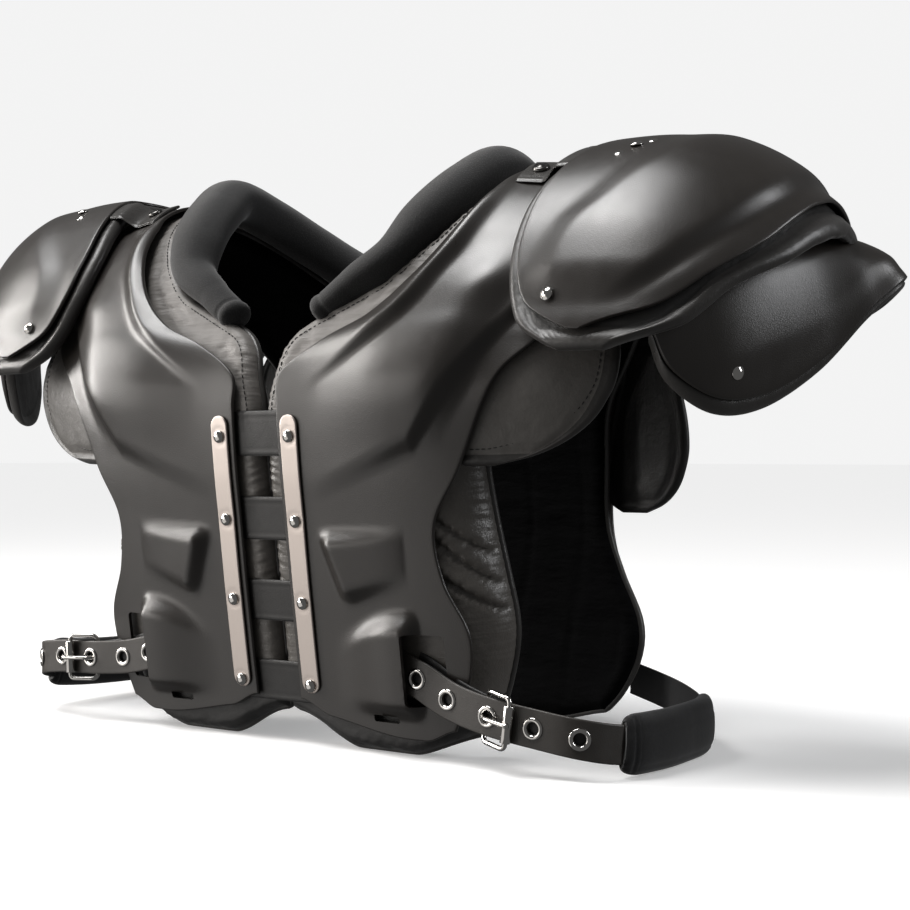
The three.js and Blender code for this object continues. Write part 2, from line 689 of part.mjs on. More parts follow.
const loopTools = [];
for (const [side, mirror, heights] of [
  ["left_", 1, BELT.leftZ],
  ["right_", -1, BELT.rightZ],
]) {
  const path = beltPath(heights, mirror);
  const curve = new THREE.CatmullRomCurve3(path, false, "centripetal");
  const across = (width) => () => width;
  const holes = BELT_HOLES.map((t) => {
    const point = curve.getPointAt(t);
    const along = curve.getTangentAt(t);
    const face = new THREE.Vector3().crossVectors(along, upright()).normalize();
    const drill = new THREE.CylinderGeometry(HOLE_RADIUS, HOLE_RADIUS, 20, 8);
    const turn = new THREE.Quaternion().setFromUnitVectors(new THREE.Vector3(0, 1, 0), face);
    return drill.applyQuaternion(turn).translate(point.x, point.y, point.z);
  });
  const belt = band(path, 12, across(BELT_WIDTH), BELT_WALL, upright, 0, BELT_END);
  add(side + "belt", cut(belt, holes), "webbing");
  const webbing = band(path, 12, across(BELT_WIDTH), BELT_WALL, upright, BELT_END + 0.004, 1);
  add(side + "rear_webbing", webbing, "webbing");
  const tunnel = band(path, 12, across(BELT_WIDTH + 1.4), BELT_WALL + 2, upright, 0.36, 0.74);
  add(side + "belt_sleeve", cut(sleeveSheet(path, SLEEVE_WIDTH, SLEEVE_WALL), [tunnel]), "neoprene");
  add(side + "buckle", buckleFrame(path, BUCKLE_AT, mirror), "chrome");
}

// Soft body pads behind the shells, thick all round, wrapping back at their outer side.
const PAD_TOP = -3 * LAYER_GAP - WEBBING_WALL;
function padHem(u) {
  return part(0.055 * (1 - step(0, 0.4, u)) + 0.03 * step(0.7, 1, u));
}
const bodyPadSheet = sheet(24, 7, (v, u, side) => {
  const frontHemHeight = padHem(u);
  const backHemHeight = part(0.02 * step(0.7, 1, u));
  const low = alongAt(frontHemHeight);
  const high = alongAt(backHemHeight, true);
  const s = mix(low, high, v);
  const crosswise = 0.5 - 0.5 * Math.cos(Math.PI * u);
  const a = padIn(s);
  const b = padOut(s);
  const upright = Math.abs(profileNormal(s)[0]);
  const x = mix(a, b, crosswise);
  const hems = Math.min(s - low, high - s) * PROFILE_LENGTH;
  const distance = Math.min(crosswise * (b - a), (1 - crosswise) * (b - a), hems);
  const half = padded(distance, PAD_WALL / 2, 9);
  const most = PAD_WRAP * (s > TOP_ALONG ? 0.35 : 0.25 + 0.75 * upright);
  const wrap = most * Math.pow(clamp((crosswise - 0.78) / 0.22), 2);
  const point = onBody(x, s, PAD_TOP - PAD_WALL / 2 + side * half, wrap);
  if (v === 0) point.z = frontHemHeight;
  if (v === 1) point.z = backHemHeight;
  return point;
});
const bodyPad = cut(bodyPadSheet, [
  shellSheet(0.4),
  flapGeometry(frontFlap, 0.5),
  flapGeometry(rearFlap, 0.5),
  neckRoll(0.5),
]);
addBoth("body_pad", bodyPad, "nylon");

// Steel strips and their rivets on the chest plates.
const STRIP_LOW = part(0.095);
const STRIP_TOP = part(0.572);
const RIVET_HEIGHTS = [0.536, 0.392, 0.252, 0.109];
const stripHalf = (z) => {
  const end = Math.min(z - STRIP_LOW, STRIP_TOP - z);
  const r = STRIP_WIDTH / 2;
  const t = clamp(end / r, 0.05, 1);
  return r * Math.sqrt(1 - (1 - t) * (1 - t));
};
const STRIP_STATIONS = [0, 0.004, 0.014, 0.036, 0.2, 0.4, 0.6, 0.8, 0.964, 0.986, 0.996, 1];
const strip = sheet(STRIP_STATIONS.length - 1, 1, (v, u, side) => {
  const share = STRIP_STATIONS[Math.round(v * (STRIP_STATIONS.length - 1))];
  const z = mix(STRIP_LOW, STRIP_TOP, share);
  const x = STRIP_MIDDLE + (2 * u - 1) * stripHalf(z);
  const lift = SHELL_WALL + LAYER_GAP + STRIP_WALL / 2 + (side * STRIP_WALL) / 2;
  return onBody(x, alongAt(z), lift);
});
addBoth("steel_strip", strip, "steel");
RIVET_HEIGHTS.forEach((share, i) => {
  const s = alongAt(part(share));
  const lift = SHELL_WALL + 2 * LAYER_GAP + STRIP_WALL;
  const point = onBody(STRIP_MIDDLE, s, lift);
  const direction = onBody(STRIP_MIDDLE, s, lift + 1).sub(point);
  addBoth("strip_rivet_" + (i + 1), dome(point, direction, RIVET_RADIUS, RIVET_HEIGHT), "chrome");
});

// Epaulets: hard caps over the shoulders on a padded liner. They don't follow the plates'
// bend but have a droop of their own towards the arm.
const EPAULET_STAND = 8; // from the inside of the arch shell to the inside of the epaulet
const EPAULET_DROOP = 50;
const EPAULET_FROM = 0.585 * HALF_WIDTH; // the droop starts here
const EPAULET_SPAN = 0.33 * HALF_WIDTH;
function epaulet(rows) {
  const half = outline(rows);
  const back = rows.slice(0, -1).reverse();
  const flip = ([s, a, b]) => [2 * TOP_ALONG - s, a, b];
  return { ...outline([...rows, ...back.map(flip)]), half };
}
const EPAULET_ROWS = [
  [0.298, 0.63, 0.645],
  [0.303, 0.6, 0.675],
  [0.313, 0.555, 0.742],
  [0.325, 0.532, 0.781],
  [0.345, 0.515, 0.82],
  [0.37, 0.508, 0.862],
  [0.405, 0.512, 0.893],
  [0.4595, 0.55, 0.91],
  [0.4974, 0.588, 0.912],
];
const RIM = 0.024;
const epauletForm = epaulet(EPAULET_ROWS);
const linerForm = epaulet(EPAULET_ROWS.map(([s, a, b]) => [s - 0.011 * (1 - step(0.3, 0.35, s)), a - RIM, b + 1.5 * RIM]));
function epauletPlace(x, s, lift) {
  const [ny, nz] = profileNormal(s);
  const reach = clamp((x - EPAULET_FROM) / EPAULET_SPAN, 0, 1.2);
  const droop = EPAULET_DROOP * Math.pow(reach, 2.6);
  const slope = (EPAULET_DROOP * 2.6 * Math.pow(reach, 1.6)) / EPAULET_SPAN;
  const k = 1 / Math.hypot(1, slope);
  const stand = EPAULET_STAND;
  const out = stand + lift * k - droop;
  return new THREE.Vector3(x + lift * slope * k, profileY(s) + ny * out, profileZ(s) + nz * out);
}
epauletForm.place = epauletPlace;
linerForm.place = epauletPlace;

// Folds of an epaulet: a raised panel from a corner line on its inner side to a ridge, and a
// groove beyond the ridge. Rows up to the top, with their mirror image down the back.
const EPAULET_FOLD_ROWS = [
  [0.312, 0.585, 0.655, 0.7],
  [0.3415, 0.588, 0.736, 0.763],
  [0.36, 0.594, 0.772, 0.797],
  [0.378, 0.615, 0.804, 0.825],
  [0.395, 0.651, 0.829, 0.847],
  [0.418, 0.689, 0.85, 0.867],
  [0.4475, 0.725, 0.864, 0.881],
  [0.4974, 0.75, 0.867, 0.886],
];
const EPAULET_FOLDS = columns("at corner ridge groove", [
  ...EPAULET_FOLD_ROWS,
  ...EPAULET_FOLD_ROWS.slice(0, -1)
    .reverse()
    .map(([s, ...rest]) => [2 * TOP_ALONG - s, ...rest]),
]);
function epauletRelief(x, s) {
  const read = (name) => smooth(EPAULET_FOLDS.at, EPAULET_FOLDS[name], s) * HALF_WIDTH;
  const [cornerX, ridgeX, grooveX] = [read("corner"), read("ridge"), read("groove")];
  const fromEnds = Math.min(s - epauletForm.from, epauletForm.to - s) - 0.012;
  const ends = step(0, 0.035, fromEnds);
  const flank = Math.max(Math.min(20, cornerX - epauletForm.inner(s) - 2), 9);
  const up = (PANEL_RISE * ends) / flank;
  const down = (GROOVE_DEPTH * ends) / (grooveX - ridgeX);
  const again = (0.4 * GROOVE_DEPTH * ends) / 9;
  return (
    up * (hinge(x, cornerX - flank, 3) - hinge(x, cornerX, 1.6)) -
    down * hinge(x, ridgeX, 1.8) +
    (down + again) * hinge(x, grooveX, 1.8) -
    again * hinge(x, grooveX + 9, 2.5)
  );
}
const epauletShell = sheet(12, 8, (v, u, side) => {
  const s = mix(epauletForm.from, epauletForm.to, mix(v, 0.5 - 0.5 * Math.cos(Math.PI * v), 0.8));
  const x = mix(epauletForm.inner(s), epauletForm.outer(s), u);
  const lift = SHELL_WALL / 2 + (side * SHELL_WALL) / 2 + epauletRelief(x, s);
  return epauletPlace(x, s, lift);
});
addBoth("epaulet_shell", epauletShell, "shell");
const LINER_MIDDLE = -LAYER_GAP - 2 - EPAULET_PAD_WALL / 2;
addBoth("epaulet_liner", padPanel(linerForm, 10, 6, LINER_MIDDLE, EPAULET_PAD_WALL / 2, 7), "nylon");

// Epaulet rivets: one low in front and three along the inner edge.
const EPAULET_RIVETS = [
  [0.322, 0.585],
  [0.438, 0.6175],
  [0.4495, 0.637],
  [0.458, 0.655],
];
EPAULET_RIVETS.forEach(([s, share], i) => {
  const x = share * HALF_WIDTH;
  const point = epauletPlace(x, s, 0);
  const at = seat(epauletShell, point, epauletPlace(x, s, 1).sub(point), LAYER_GAP);
  addBoth("epaulet_rivet_" + (i + 1), dome(at.point, at.normal, RIVET_RADIUS, RIVET_HEIGHT), "chrome");
});

// Shoulder cups below the epaulets: sections from the front to the back of the rim.
const CUP = columns("topX topY topZ rimX rimY rimZ", [
  [0.74, 0.07, 0.71, 0.73, 0.06, 0.69],
  [0.76, 0.11, 0.74, 0.75, 0.1, 0.63],
  [0.79, 0.18, 0.785, 0.8, 0.19, 0.587],
  [0.81, 0.27, 0.835, 0.85, 0.31, 0.598],
  [0.82, 0.38, 0.86, 0.91, 0.42, 0.655],
  [0.82, 0.48, 0.86, 0.965, 0.5, 0.733],
  [0.8, 0.57, 0.84, 0.995, 0.59, 0.778],
  [0.77, 0.67, 0.8, 0.94, 0.68, 0.752],
  [0.75, 0.75, 0.77, 0.86, 0.76, 0.725],
  [0.74, 0.8, 0.745, 0.79, 0.81, 0.71],
  [0.72, 0.83, 0.73, 0.74, 0.835, 0.705],
]);
const CUP_STATIONS = CUP.topX.map((x, i) => i / (CUP.topX.length - 1));
const CUP_BULGE = 13;
const CUP_CENTRE = new THREE.Vector3(0.5 * HALF_WIDTH, 0.45 * DEPTH, 0.45 * SHOULDER_HEIGHT);
function cupPoint(v, u, lift) {
  const read = (name) => smooth(CUP_STATIONS, CUP[name], v);
  const top = new THREE.Vector3(
    read("topX") * HALF_WIDTH,
    read("topY") * DEPTH,
    read("topZ") * SHOULDER_HEIGHT,
  );
  const rim = new THREE.Vector3(
    read("rimX") * HALF_WIDTH,
    read("rimY") * DEPTH,
    read("rimZ") * SHOULDER_HEIGHT,
  );
  const middle = top.clone().lerp(rim, u);
  const away = middle.clone().sub(CUP_CENTRE).normalize();
  const bulge = CUP_BULGE * 4 * u * (1 - u) * Math.sin(Math.PI * clamp(v, 0.02, 0.98));
  return middle.addScaledVector(away, bulge + lift);
}
const cupShell = sheet(10, 5, (v, u, side) => cupPoint(v, u, CUP_WALL / 2 + (side * CUP_WALL) / 2));
const linerRoom = padPanel(linerForm, 10, 6, LINER_MIDDLE, EPAULET_PAD_WALL / 2, 7, 0.5);
addBoth("cup_shell", cut(cupShell, [linerRoom]), "shell");
const cupPad = sheet(10, 4, (v, u, side) => {
  const rim = 1.07;
  const w = mix(0.05, rim, u);
  const thin = padded(Math.min(1 - u, v * 3, (1 - v) * 3) * 60, CUP_PAD_WALL / 2, 8);
  return cupPoint(mix(-0.0, 1.0, v), w, -LAYER_GAP - 1.4 - CUP_PAD_WALL / 2 + side * thin);
});
addBoth("cup_liner", cut(cupPad, [linerRoom]), "nylon");
const cupRivetPoint = cupPoint(0.23, 0.84, 0);
const cupRivetOut = cupPoint(0.23, 0.84, 1).sub(cupRivetPoint);
const cupSeat = seat(cupShell, cupRivetPoint, cupRivetOut, LAYER_GAP);
addBoth("cup_rivet", dome(cupSeat.point, cupSeat.normal, RIVET_RADIUS, RIVET_HEIGHT), "chrome");

// Hinge tabs with a snap, from the shoulder to the inner edge of the epaulets.
const TAB = { from: 0.435, to: 0.47, inner: 0.418 };
const TAB_WALL = 2.4;
const hingeTab = sheet(4, 5, (v, u, side) => {
  const s = mix(TAB.from, TAB.to, v);
  const x = mix(TAB.inner * HALF_WIDTH, epauletForm.inner(s) - 2 * LAYER_GAP, u);
  const outside = (1 + side) * (TAB_WALL / 2);
  const onShell = onBody(x, s, SHELL_WALL + 4 * LAYER_GAP + outside);
  const atCap = epauletPlace(x, s, outside - 1);
  return onShell.lerp(atCap, step(0.4, 0.8, u));
});
addBoth("hinge_tab", hingeTab, "webbing");
const snapX = 0.446 * HALF_WIDTH;
const snapS = (TAB.from + TAB.to) / 2;
const snapPoint = onBody(snapX, snapS, 0);
const snapSeat = seat(hingeTab, snapPoint, onBody(snapX, snapS, 1).sub(snapPoint), LAYER_GAP);
addBoth("tab_snap", dome(snapSeat.point, snapSeat.normal, SNAP_RADIUS, SNAP_HEIGHT), "chrome");

// The origin is at the middle of the object's footprint, on the floor it stands on.
const extent = new THREE.Box3().setFromObject(root);
const middle = extent.getCenter(new THREE.Vector3());
root.position.set(-middle.x, -middle.y, -extent.min.z);

export default root;
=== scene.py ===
# A football shoulder pad: smooth shells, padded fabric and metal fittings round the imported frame.
# Shapes are worked out in millimetres, in the source's own coordinates, and put in the row frame
# by to_row. The wearer's front is -Y and the wearer's left is +X.
import math
import bpy
import numpy as np
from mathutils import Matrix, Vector


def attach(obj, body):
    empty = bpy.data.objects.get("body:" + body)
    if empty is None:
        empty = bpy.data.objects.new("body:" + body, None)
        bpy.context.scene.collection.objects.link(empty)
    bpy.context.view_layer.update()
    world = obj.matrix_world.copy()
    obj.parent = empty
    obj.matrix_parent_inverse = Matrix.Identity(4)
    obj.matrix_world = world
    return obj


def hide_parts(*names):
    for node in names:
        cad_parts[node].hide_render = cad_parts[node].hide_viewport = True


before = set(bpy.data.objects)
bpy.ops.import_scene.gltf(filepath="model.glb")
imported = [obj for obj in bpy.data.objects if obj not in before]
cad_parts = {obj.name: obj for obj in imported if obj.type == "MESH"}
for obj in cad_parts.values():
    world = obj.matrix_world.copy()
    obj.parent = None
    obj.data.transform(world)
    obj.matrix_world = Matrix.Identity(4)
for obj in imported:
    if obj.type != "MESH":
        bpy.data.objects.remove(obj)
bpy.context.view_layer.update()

# Sizes, as the source has them.
HALF_WIDTH = 375.0
SHOULDER_HEIGHT = 375.0
DEPTH = 242.0
SHELL_WALL = 2.8
PAD_WALL = 18.0
LAYER_GAP = 0.4
WEBBING_WALL = 1.8
BELT_WIDTH = 23.5
BELT_WALL = 2.0
FLAT_HALF = 92.0
BEND = 0.0014
PAD_WRAP = 19.0
STRIP_WIDTH = 14.0
STRIP_WALL = 1.5
STRIP_MIDDLE = 29.6
BOX_RISE = 7.5
BLOCK_RISE = 9.5
CHEST_RISE = 4.5
EPAULET_PAD_WALL = 7.0
CUP_WALL = 2.6
CUP_PAD_WALL = 6.0
FLAP_WALL = 7.0
ROLL_HALF_WIDTH = 19.5
ROLL_HALF_HEIGHT = 16.0
SLEEVE_WALL = 15.0
SLEEVE_WIDTH = 36.0
FRONT_SHIFT = -107.02167  # from the source's Y to the row frame's


def to_row(points):
    """Metres in the row frame, from millimetres in the source's coordinates."""
    p = np.asarray(points, float)
    return (p + np.array([0, FRONT_SHIFT, 0])) * 0.001


# Curves and tables
def columns(names, rows):
    """A table's columns by name."""
    table = np.array(rows, float)
    return {name: table[:, i] for i, name in enumerate(names.split())}


def smooth(at, values, x):
    """A smooth curve through the values at the given stations."""
    at, values = np.asarray(at, float), np.asarray(values, float)
    last = len(at) - 1
    c = np.clip(np.asarray(x, float), at[0], at[last])
    i = np.clip(np.searchsorted(at, c, side="left") - 1, 0, last - 1)
    low, high = np.maximum(np.arange(last + 1) - 1, 0), np.minimum(np.arange(last + 1) + 1, last)
    slope = (values[high] - values[low]) / (at[high] - at[low])
    h = at[i + 1] - at[i]
    t = (c - at[i]) / h
    t2, t3 = t * t, t * t * t
    return (
        (2 * t3 - 3 * t2 + 1) * values[i]
        + (t3 - 2 * t2 + t) * h * slope[i]
        + (3 * t2 - 2 * t3) * values[i + 1]
        + (t3 - t2) * h * slope[i + 1]
    )


def clamp(x, a=0.0, b=1.0):
    return np.clip(x, a, b)


def step(a, b, x):
    """From 0 at a to 1 at b, eased at both ends."""
    t = clamp((np.asarray(x, float) - a) / (b - a))
    return t * t * (3 - 2 * t)


def mix(a, b, t):
    return a + (b - a) * t


def bump(x, width):
    """A smooth bump of height one, about two widths wide."""
    return np.exp(-((x / width) ** 2))


def rounded(t, least=0.0):
    """The height of a quarter circle: 0 where t is 0, and 1 where t is 1 or more."""
    return np.sqrt(np.maximum(least, 1 - (1 - clamp(t)) ** 2))


SECTION = columns("depth height shellIn shellOut padIn padOut", [
    [0.086, 0.0, 0.054, 0.342, 0.0136, 0.36],
    [0.071, 0.074, 0.049, 0.377, 0.0036, 0.407],
    [0.052, 0.152, 0.049, 0.404, 0.0036, 0.436],
    [0.037, 0.216, 0.049, 0.406, 0.0036, 0.446],
    [0.018, 0.299, 0.049, 0.368, 0.0036, 0.436],
    [-0.001, 0.392, 0.049, 0.36, 0.0036, 0.422],
    [-0.02, 0.48, 0.049, 0.41, 0.0036, 0.414],
    [-0.035, 0.588, 0.049, 0.458, 0.0086, 0.417],
    [-0.03, 0.642, 0.054, 0.487, 0.0206, 0.436],
    [-0.01, 0.694, 0.137, 0.537, 0.0356, 0.49],
    [0.011, 0.728, 0.225, 0.561, 0.0676, 0.52],
    [0.046, 0.787, 0.299, 0.579, 0.1996, 0.544],
    [0.104, 0.858, 0.35, 0.593, 0.2826, 0.564],
    [0.192, 0.931, 0.382, 0.603, 0.3366, 0.574],
    [0.304, 0.98, 0.407, 0.608, 0.3666, 0.578],
    [0.437, 1.0, 0.412, 0.608, 0.3756, 0.578],
    [0.57, 0.985, 0.4, 0.603, 0.3636, 0.574],
    [0.692, 0.941, 0.363, 0.588, 0.3266, 0.559],
    [0.806, 0.863, 0.289, 0.554, 0.2486, 0.525],
    [0.875, 0.779, 0.172, 0.495, 0.1306, 0.48],
    [0.913, 0.699, 0.069, 0.415, 0.0276, 0.431],
    [0.939, 0.6, 0.049, 0.355, 0.0086, 0.373],
    [0.947, 0.49, 0.049, 0.345, 0.0036, 0.365],
    [0.943, 0.368, 0.049, 0.345, 0.0036, 0.37],
    [0.935, 0.282, 0.049, 0.37, 0.0036, 0.405],
    [0.924, 0.191, 0.049, 0.415, 0.0036, 0.455],
    [0.913, 0.123, 0.049, 0.415, 0.0036, 0.455],
    [0.897, 0.054, 0.054, 0.378, 0.0036, 0.42],
    [0.882, 0.0, 0.059, 0.335, 0.0136, 0.365],
])
SECTION_Y = SECTION["depth"] * DEPTH
SECTION_Z = SECTION["height"] * SHOULDER_HEIGHT
_lengths = np.hypot(np.diff(SECTION_Y), np.diff(SECTION_Z))
PROFILE_LENGTH = float(_lengths.sum())
ALONG = np.concatenate([[0], np.cumsum(_lengths)]) / PROFILE_LENGTH
TOP_ALONG = float(ALONG[int(np.argmax(SECTION["height"]))])


def edge(name):
    return lambda s: smooth(ALONG, SECTION[name], s) * HALF_WIDTH


shell_in, shell_out = edge("shellIn"), edge("shellOut")
pad_in, pad_out = edge("padIn"), edge("padOut")


def profile_y(s):
    return smooth(ALONG, SECTION_Y, s)


def profile_z(s):
    return smooth(ALONG, SECTION_Z, s)


def profile_normal(s):
    """The side profile's outward direction, as its y and its z."""
    a, b = clamp(np.asarray(s) - 0.004), clamp(np.asarray(s) + 0.004)
    dy, dz = profile_y(b) - profile_y(a), profile_z(b) - profile_z(a)
    length = np.hypot(dy, dz)
    return -dz / length, dy / length


def along_at(height, back=False):
    """Where along the side profile a height is passed, in front or behind."""
    height = np.asarray(height, float)
    low = np.full(height.shape, TOP_ALONG if back else 0.0)
    high = np.full(height.shape, 1.0 if back else TOP_ALONG)
    for _ in range(36):
        middle = (low + high) / 2
        below = (profile_z(middle) < height) != back
        low, high = np.where(below, middle, low), np.where(below, high, middle)
    return (low + high) / 2


def on_body(x, s, lift, sag=0.0):
    """A point lift millimetres outside the body's form, at x and share s of the side profile."""
    ny, nz = profile_normal(s)
    rate = BEND * (0.3 + 0.7 * np.abs(ny))
    reach = np.maximum(0, x - FLAT_HALF)
    drop, slope = rate * reach * reach, 2 * rate * reach
    k = 1 / np.hypot(1, slope)
    out = lift * k - drop - sag
    return np.stack([x + lift * slope * k, profile_y(s) + ny * out, profile_z(s) + nz * out], -1)


def part(share):
    """A height in millimetres, from a share of the shoulder's height."""
    return share * SHOULDER_HEIGHT


# Relief of the chest plates
RIDGE_RISE = 5.6
CHANNEL_DEPTH = 6.5
BACK_PANEL_RISE = 2.4


def ramp(x, z, a, b, width):
    """From 0 on the line from a to b to 1 at width to the left of it."""
    (ax, az), (bx, bz) = a, b
    length = math.hypot(bx - ax, bz - az)
    away = ((bx - ax) * (z - az) - (bz - az) * (x - ax)) / length
    return step(0, 1, away / width)


def corner(x, z):
    return x * HALF_WIDTH, part(z)


BOX = {
    "top_in": corner(0.112, 0.38),
    "top_out": corner(0.27, 0.388),
    "low_in": corner(0.163, 0.243),
    "low_out": corner(0.3, 0.285),
}
SLOT = {"in": 0.293 * HALF_WIDTH, "out": 0.361 * HALF_WIDTH, "low": part(0.09), "top": part(0.21)}
BLOCK_TOP = np.array([corner(0.14, 0.2), corner(0.235, 0.245), corner(0.32, 0.252), corner(0.365, 0.225)])


def hinge(x, at, soft):
    """Nothing before at, then a slope of one, with the bend rounded over about soft millimetres."""
    return soft * np.logaddexp(0, (x - at) / soft)


def box_relief(x, z):
    """The raised box low on the chest, which fades towards its outer side."""
    inner = ramp(x, z, BOX["top_in"], BOX["low_in"], 13)
    top = ramp(x, z, BOX["top_out"], BOX["top_in"], 11)
    low = ramp(x, z, BOX["low_in"], BOX["low_out"], 12)
    face = clamp((0.3 * HALF_WIDTH - x) / (0.15 * HALF_WIDTH)) ** 0.8
    return BOX_RISE * inner * top * low * face


def block_relief(x, z):
    """The raised block beside the belt's slot."""
    top = step(0, 15, smooth(BLOCK_TOP[:, 0], BLOCK_TOP[:, 1], x) - z)
    low = step(0, 14, z - part(0.062))
    inner = step(0, 1, (x - 0.13 * HALF_WIDTH) / (0.15 * HALF_WIDTH))
    outer = step(0, 10, SLOT["in"] + 9.4 - x)
    return BLOCK_RISE * top * low * inner * outer


# The folds of the upper chest: a crest beside the neck, its foot, and a channel beside the arm.
FOLDS = columns("height crest foot brow valley", [
    [0.54, 0.02, 0.03, 0.35, 0.388],
    [0.589, 0.085, 0.09, 0.365, 0.418],
    [0.619, 0.12, 0.125, 0.38, 0.435],
    [0.65, 0.17, 0.19, 0.39, 0.45],
    [0.682, 0.218, 0.247, 0.402, 0.46],
    [0.712, 0.261, 0.294, 0.41, 0.47],
    [0.752, 0.304, 0.33, 0.425, 0.483],
    [0.79, 0.331, 0.358, 0.445, 0.495],
    [0.84, 0.363, 0.39, 0.46, 0.51],
    [0.906, 0.386, 0.416, 0.48, 0.53],
    [0.952, 0.396, 0.432, 0.49, 0.54],
])


def fold_lines(table, at):
    """The x of each line of folds at a station: the table's first column holds the stations."""
    stations, *lines = table.values()
    return [smooth(stations, line, at) * HALF_WIDTH for line in lines]


def chest_relief(x, s, z):
    """The swell of the chest, the ridge beside the neck and the channel beside the arm."""
    crease = mix(part(0.425), part(0.5), clamp((x - 0.13 * HALF_WIDTH) / (0.2 * HALF_WIDTH)))
    steeper = np.maximum(0, x - 0.33 * HALF_WIDTH) * 1.3
    swell = step(0, 15, z - crease - steeper)
    height = z / SHOULDER_HEIGHT
    fade = 1 - step(0.86, 1, height)
    chest = CHEST_RISE * swell * fade * step(0.09 * HALF_WIDTH, 0.3 * HALF_WIDTH, x)
    crest, foot, brow, valley = fold_lines(FOLDS, height)
    neck = np.minimum(shell_in(s), crest - 3)
    rise = RIDGE_RISE * step(0.6, 0.73, height) * (1 - 0.6 * step(0.88, 0.99, height))
    up, down = rise / (crest - neck), rise / np.maximum(foot - crest, 2.5)
    ridge = up * hinge(x, neck, 0.5) - (up + down) * hinge(x, crest, 1.3) + down * hinge(x, foot, 2.0)
    depth = CHANNEL_DEPTH * step(0.5, 0.64, height) * (1 - step(0.76, 0.86, height))
    fall = depth / (valley - brow)
    back_up = 0.35 * depth / np.maximum(shell_out(s) - valley, 5)
    start = np.maximum(foot, 0.14 * HALF_WIDTH)
    slope = depth / (brow - start)
    hump = slope * hinge(x, start, 2.0) - (slope + fall) * hinge(x, brow, 3.5)
    return chest + ridge + hump + (fall + back_up) * hinge(x, valley, 1.5)


def shell_relief(x, s):
    """The plates and folds in front, and a flat raised panel behind."""
    z = profile_z(s)
    front = s < TOP_ALONG
    relief = box_relief(x, z) + block_relief(x, z) + chest_relief(x, s, z)
    fade = 1 - step(TOP_ALONG - 0.03, TOP_ALONG, s)
    middle = (shell_in(s) + shell_out(s)) / 2
    half = (shell_out(s) - shell_in(s)) / 2
    panel = step(0, 14, half - 16 - np.abs(x - middle)) * step(part(0.12), part(0.17), z)
    panel = panel * (1 - step(part(0.62), part(0.7), z))
    back = step(TOP_ALONG, TOP_ALONG + 0.03, s)
    return np.where(front, relief * fade, BACK_PANEL_RISE * panel * back)


# Mesh makers
def link(name, mesh, materials=()):
    obj = bpy.data.objects.new(name, mesh)
    bpy.context.scene.collection.objects.link(obj)
    for m in materials:
        obj.data.materials.append(m)
    return obj


def make(name, points, faces, materials, uv=None, face_material=None, flip=False):
    """A smooth-shaded object from points in millimetres and quads or triangles."""
    points = np.asarray(points, float).reshape(-1, 3)
    faces = np.asarray(faces, np.int32)
    if flip:
        points = points * np.array([-1, 1, 1])
        faces = faces[:, ::-1]
    sides = faces.shape[1]
    mesh = bpy.data.meshes.new(name)
    mesh.vertices.add(len(points))
    mesh.vertices.foreach_set("co", to_row(points).astype(np.float32).ravel())
    mesh.loops.add(faces.size)
    mesh.loops.foreach_set("vertex_index", faces.ravel())
    mesh.polygons.add(len(faces))
    mesh.polygons.foreach_set("loop_start", np.arange(0, faces.size, sides, dtype=np.int32))
    mesh.polygons.foreach_set("use_smooth", np.ones(len(faces), bool))
    if face_material is not None:
        mesh.polygons.foreach_set("material_index", np.asarray(face_material, np.int32))
    mesh.update(calc_edges=True)
    mesh.validate()
    if uv is not None:
        layer = mesh.uv_layers.new(name="metres")
        flat = np.asarray(uv, float).reshape(-1, 2)[faces.ravel()] * 0.001
        layer.data.foreach_set("uv", flat.astype(np.float32).ravel())
    return link(name, mesh, materials)


def volume(points, faces):
    """Six times the volume inside the faces, negative if they look inward."""
    p = np.asarray(points, float).reshape(-1, 3)
    f = np.asarray(faces)
    total = 0.0
    for k in range(1, f.shape[1] - 1):
        a, b, c = p[f[:, 0]], p[f[:, k]], p[f[:, k + 1]]
        total += float(np.einsum("ij,ij->i", a, np.cross(b, c)).sum())
    return total


def outward(points, faces):
    """The faces of a closed mesh, turned to look outward."""
    faces = np.asarray(faces)
    return faces if volume(points, faces) > 0 else faces[:, ::-1]


def quads(ids):
    """Faces between the neighbours in a grid of point numbers."""
    return np.stack([ids[:-1, :-1], ids[:-1, 1:], ids[1:, 1:], ids[1:, :-1]], -1).reshape(-1, 4)


EDGES = (np.s_[0, :], np.s_[-1, :], np.s_[:, 0], np.s_[:, -1])


def sheet(front, back, sewn=()):
    """Points and faces of a sheet between two grids of points, walled at the edges that aren't sewn."""
    n, m = front.shape[:2]
    outer = np.arange(n * m).reshape(n, m)
    inner = outer + n * m
    for line in sewn:
        inner[line] = outer[line]
    faces = [quads(outer), quads(inner)[:, ::-1]]
    for line in EDGES:
        if line not in sewn:
            a, b = outer[line], inner[line]
            faces.append(np.stack([a[:-1], a[1:], b[1:], b[:-1]], -1))
    return np.concatenate([front.reshape(-1, 3), back.reshape(-1, 3)]), np.concatenate(faces)


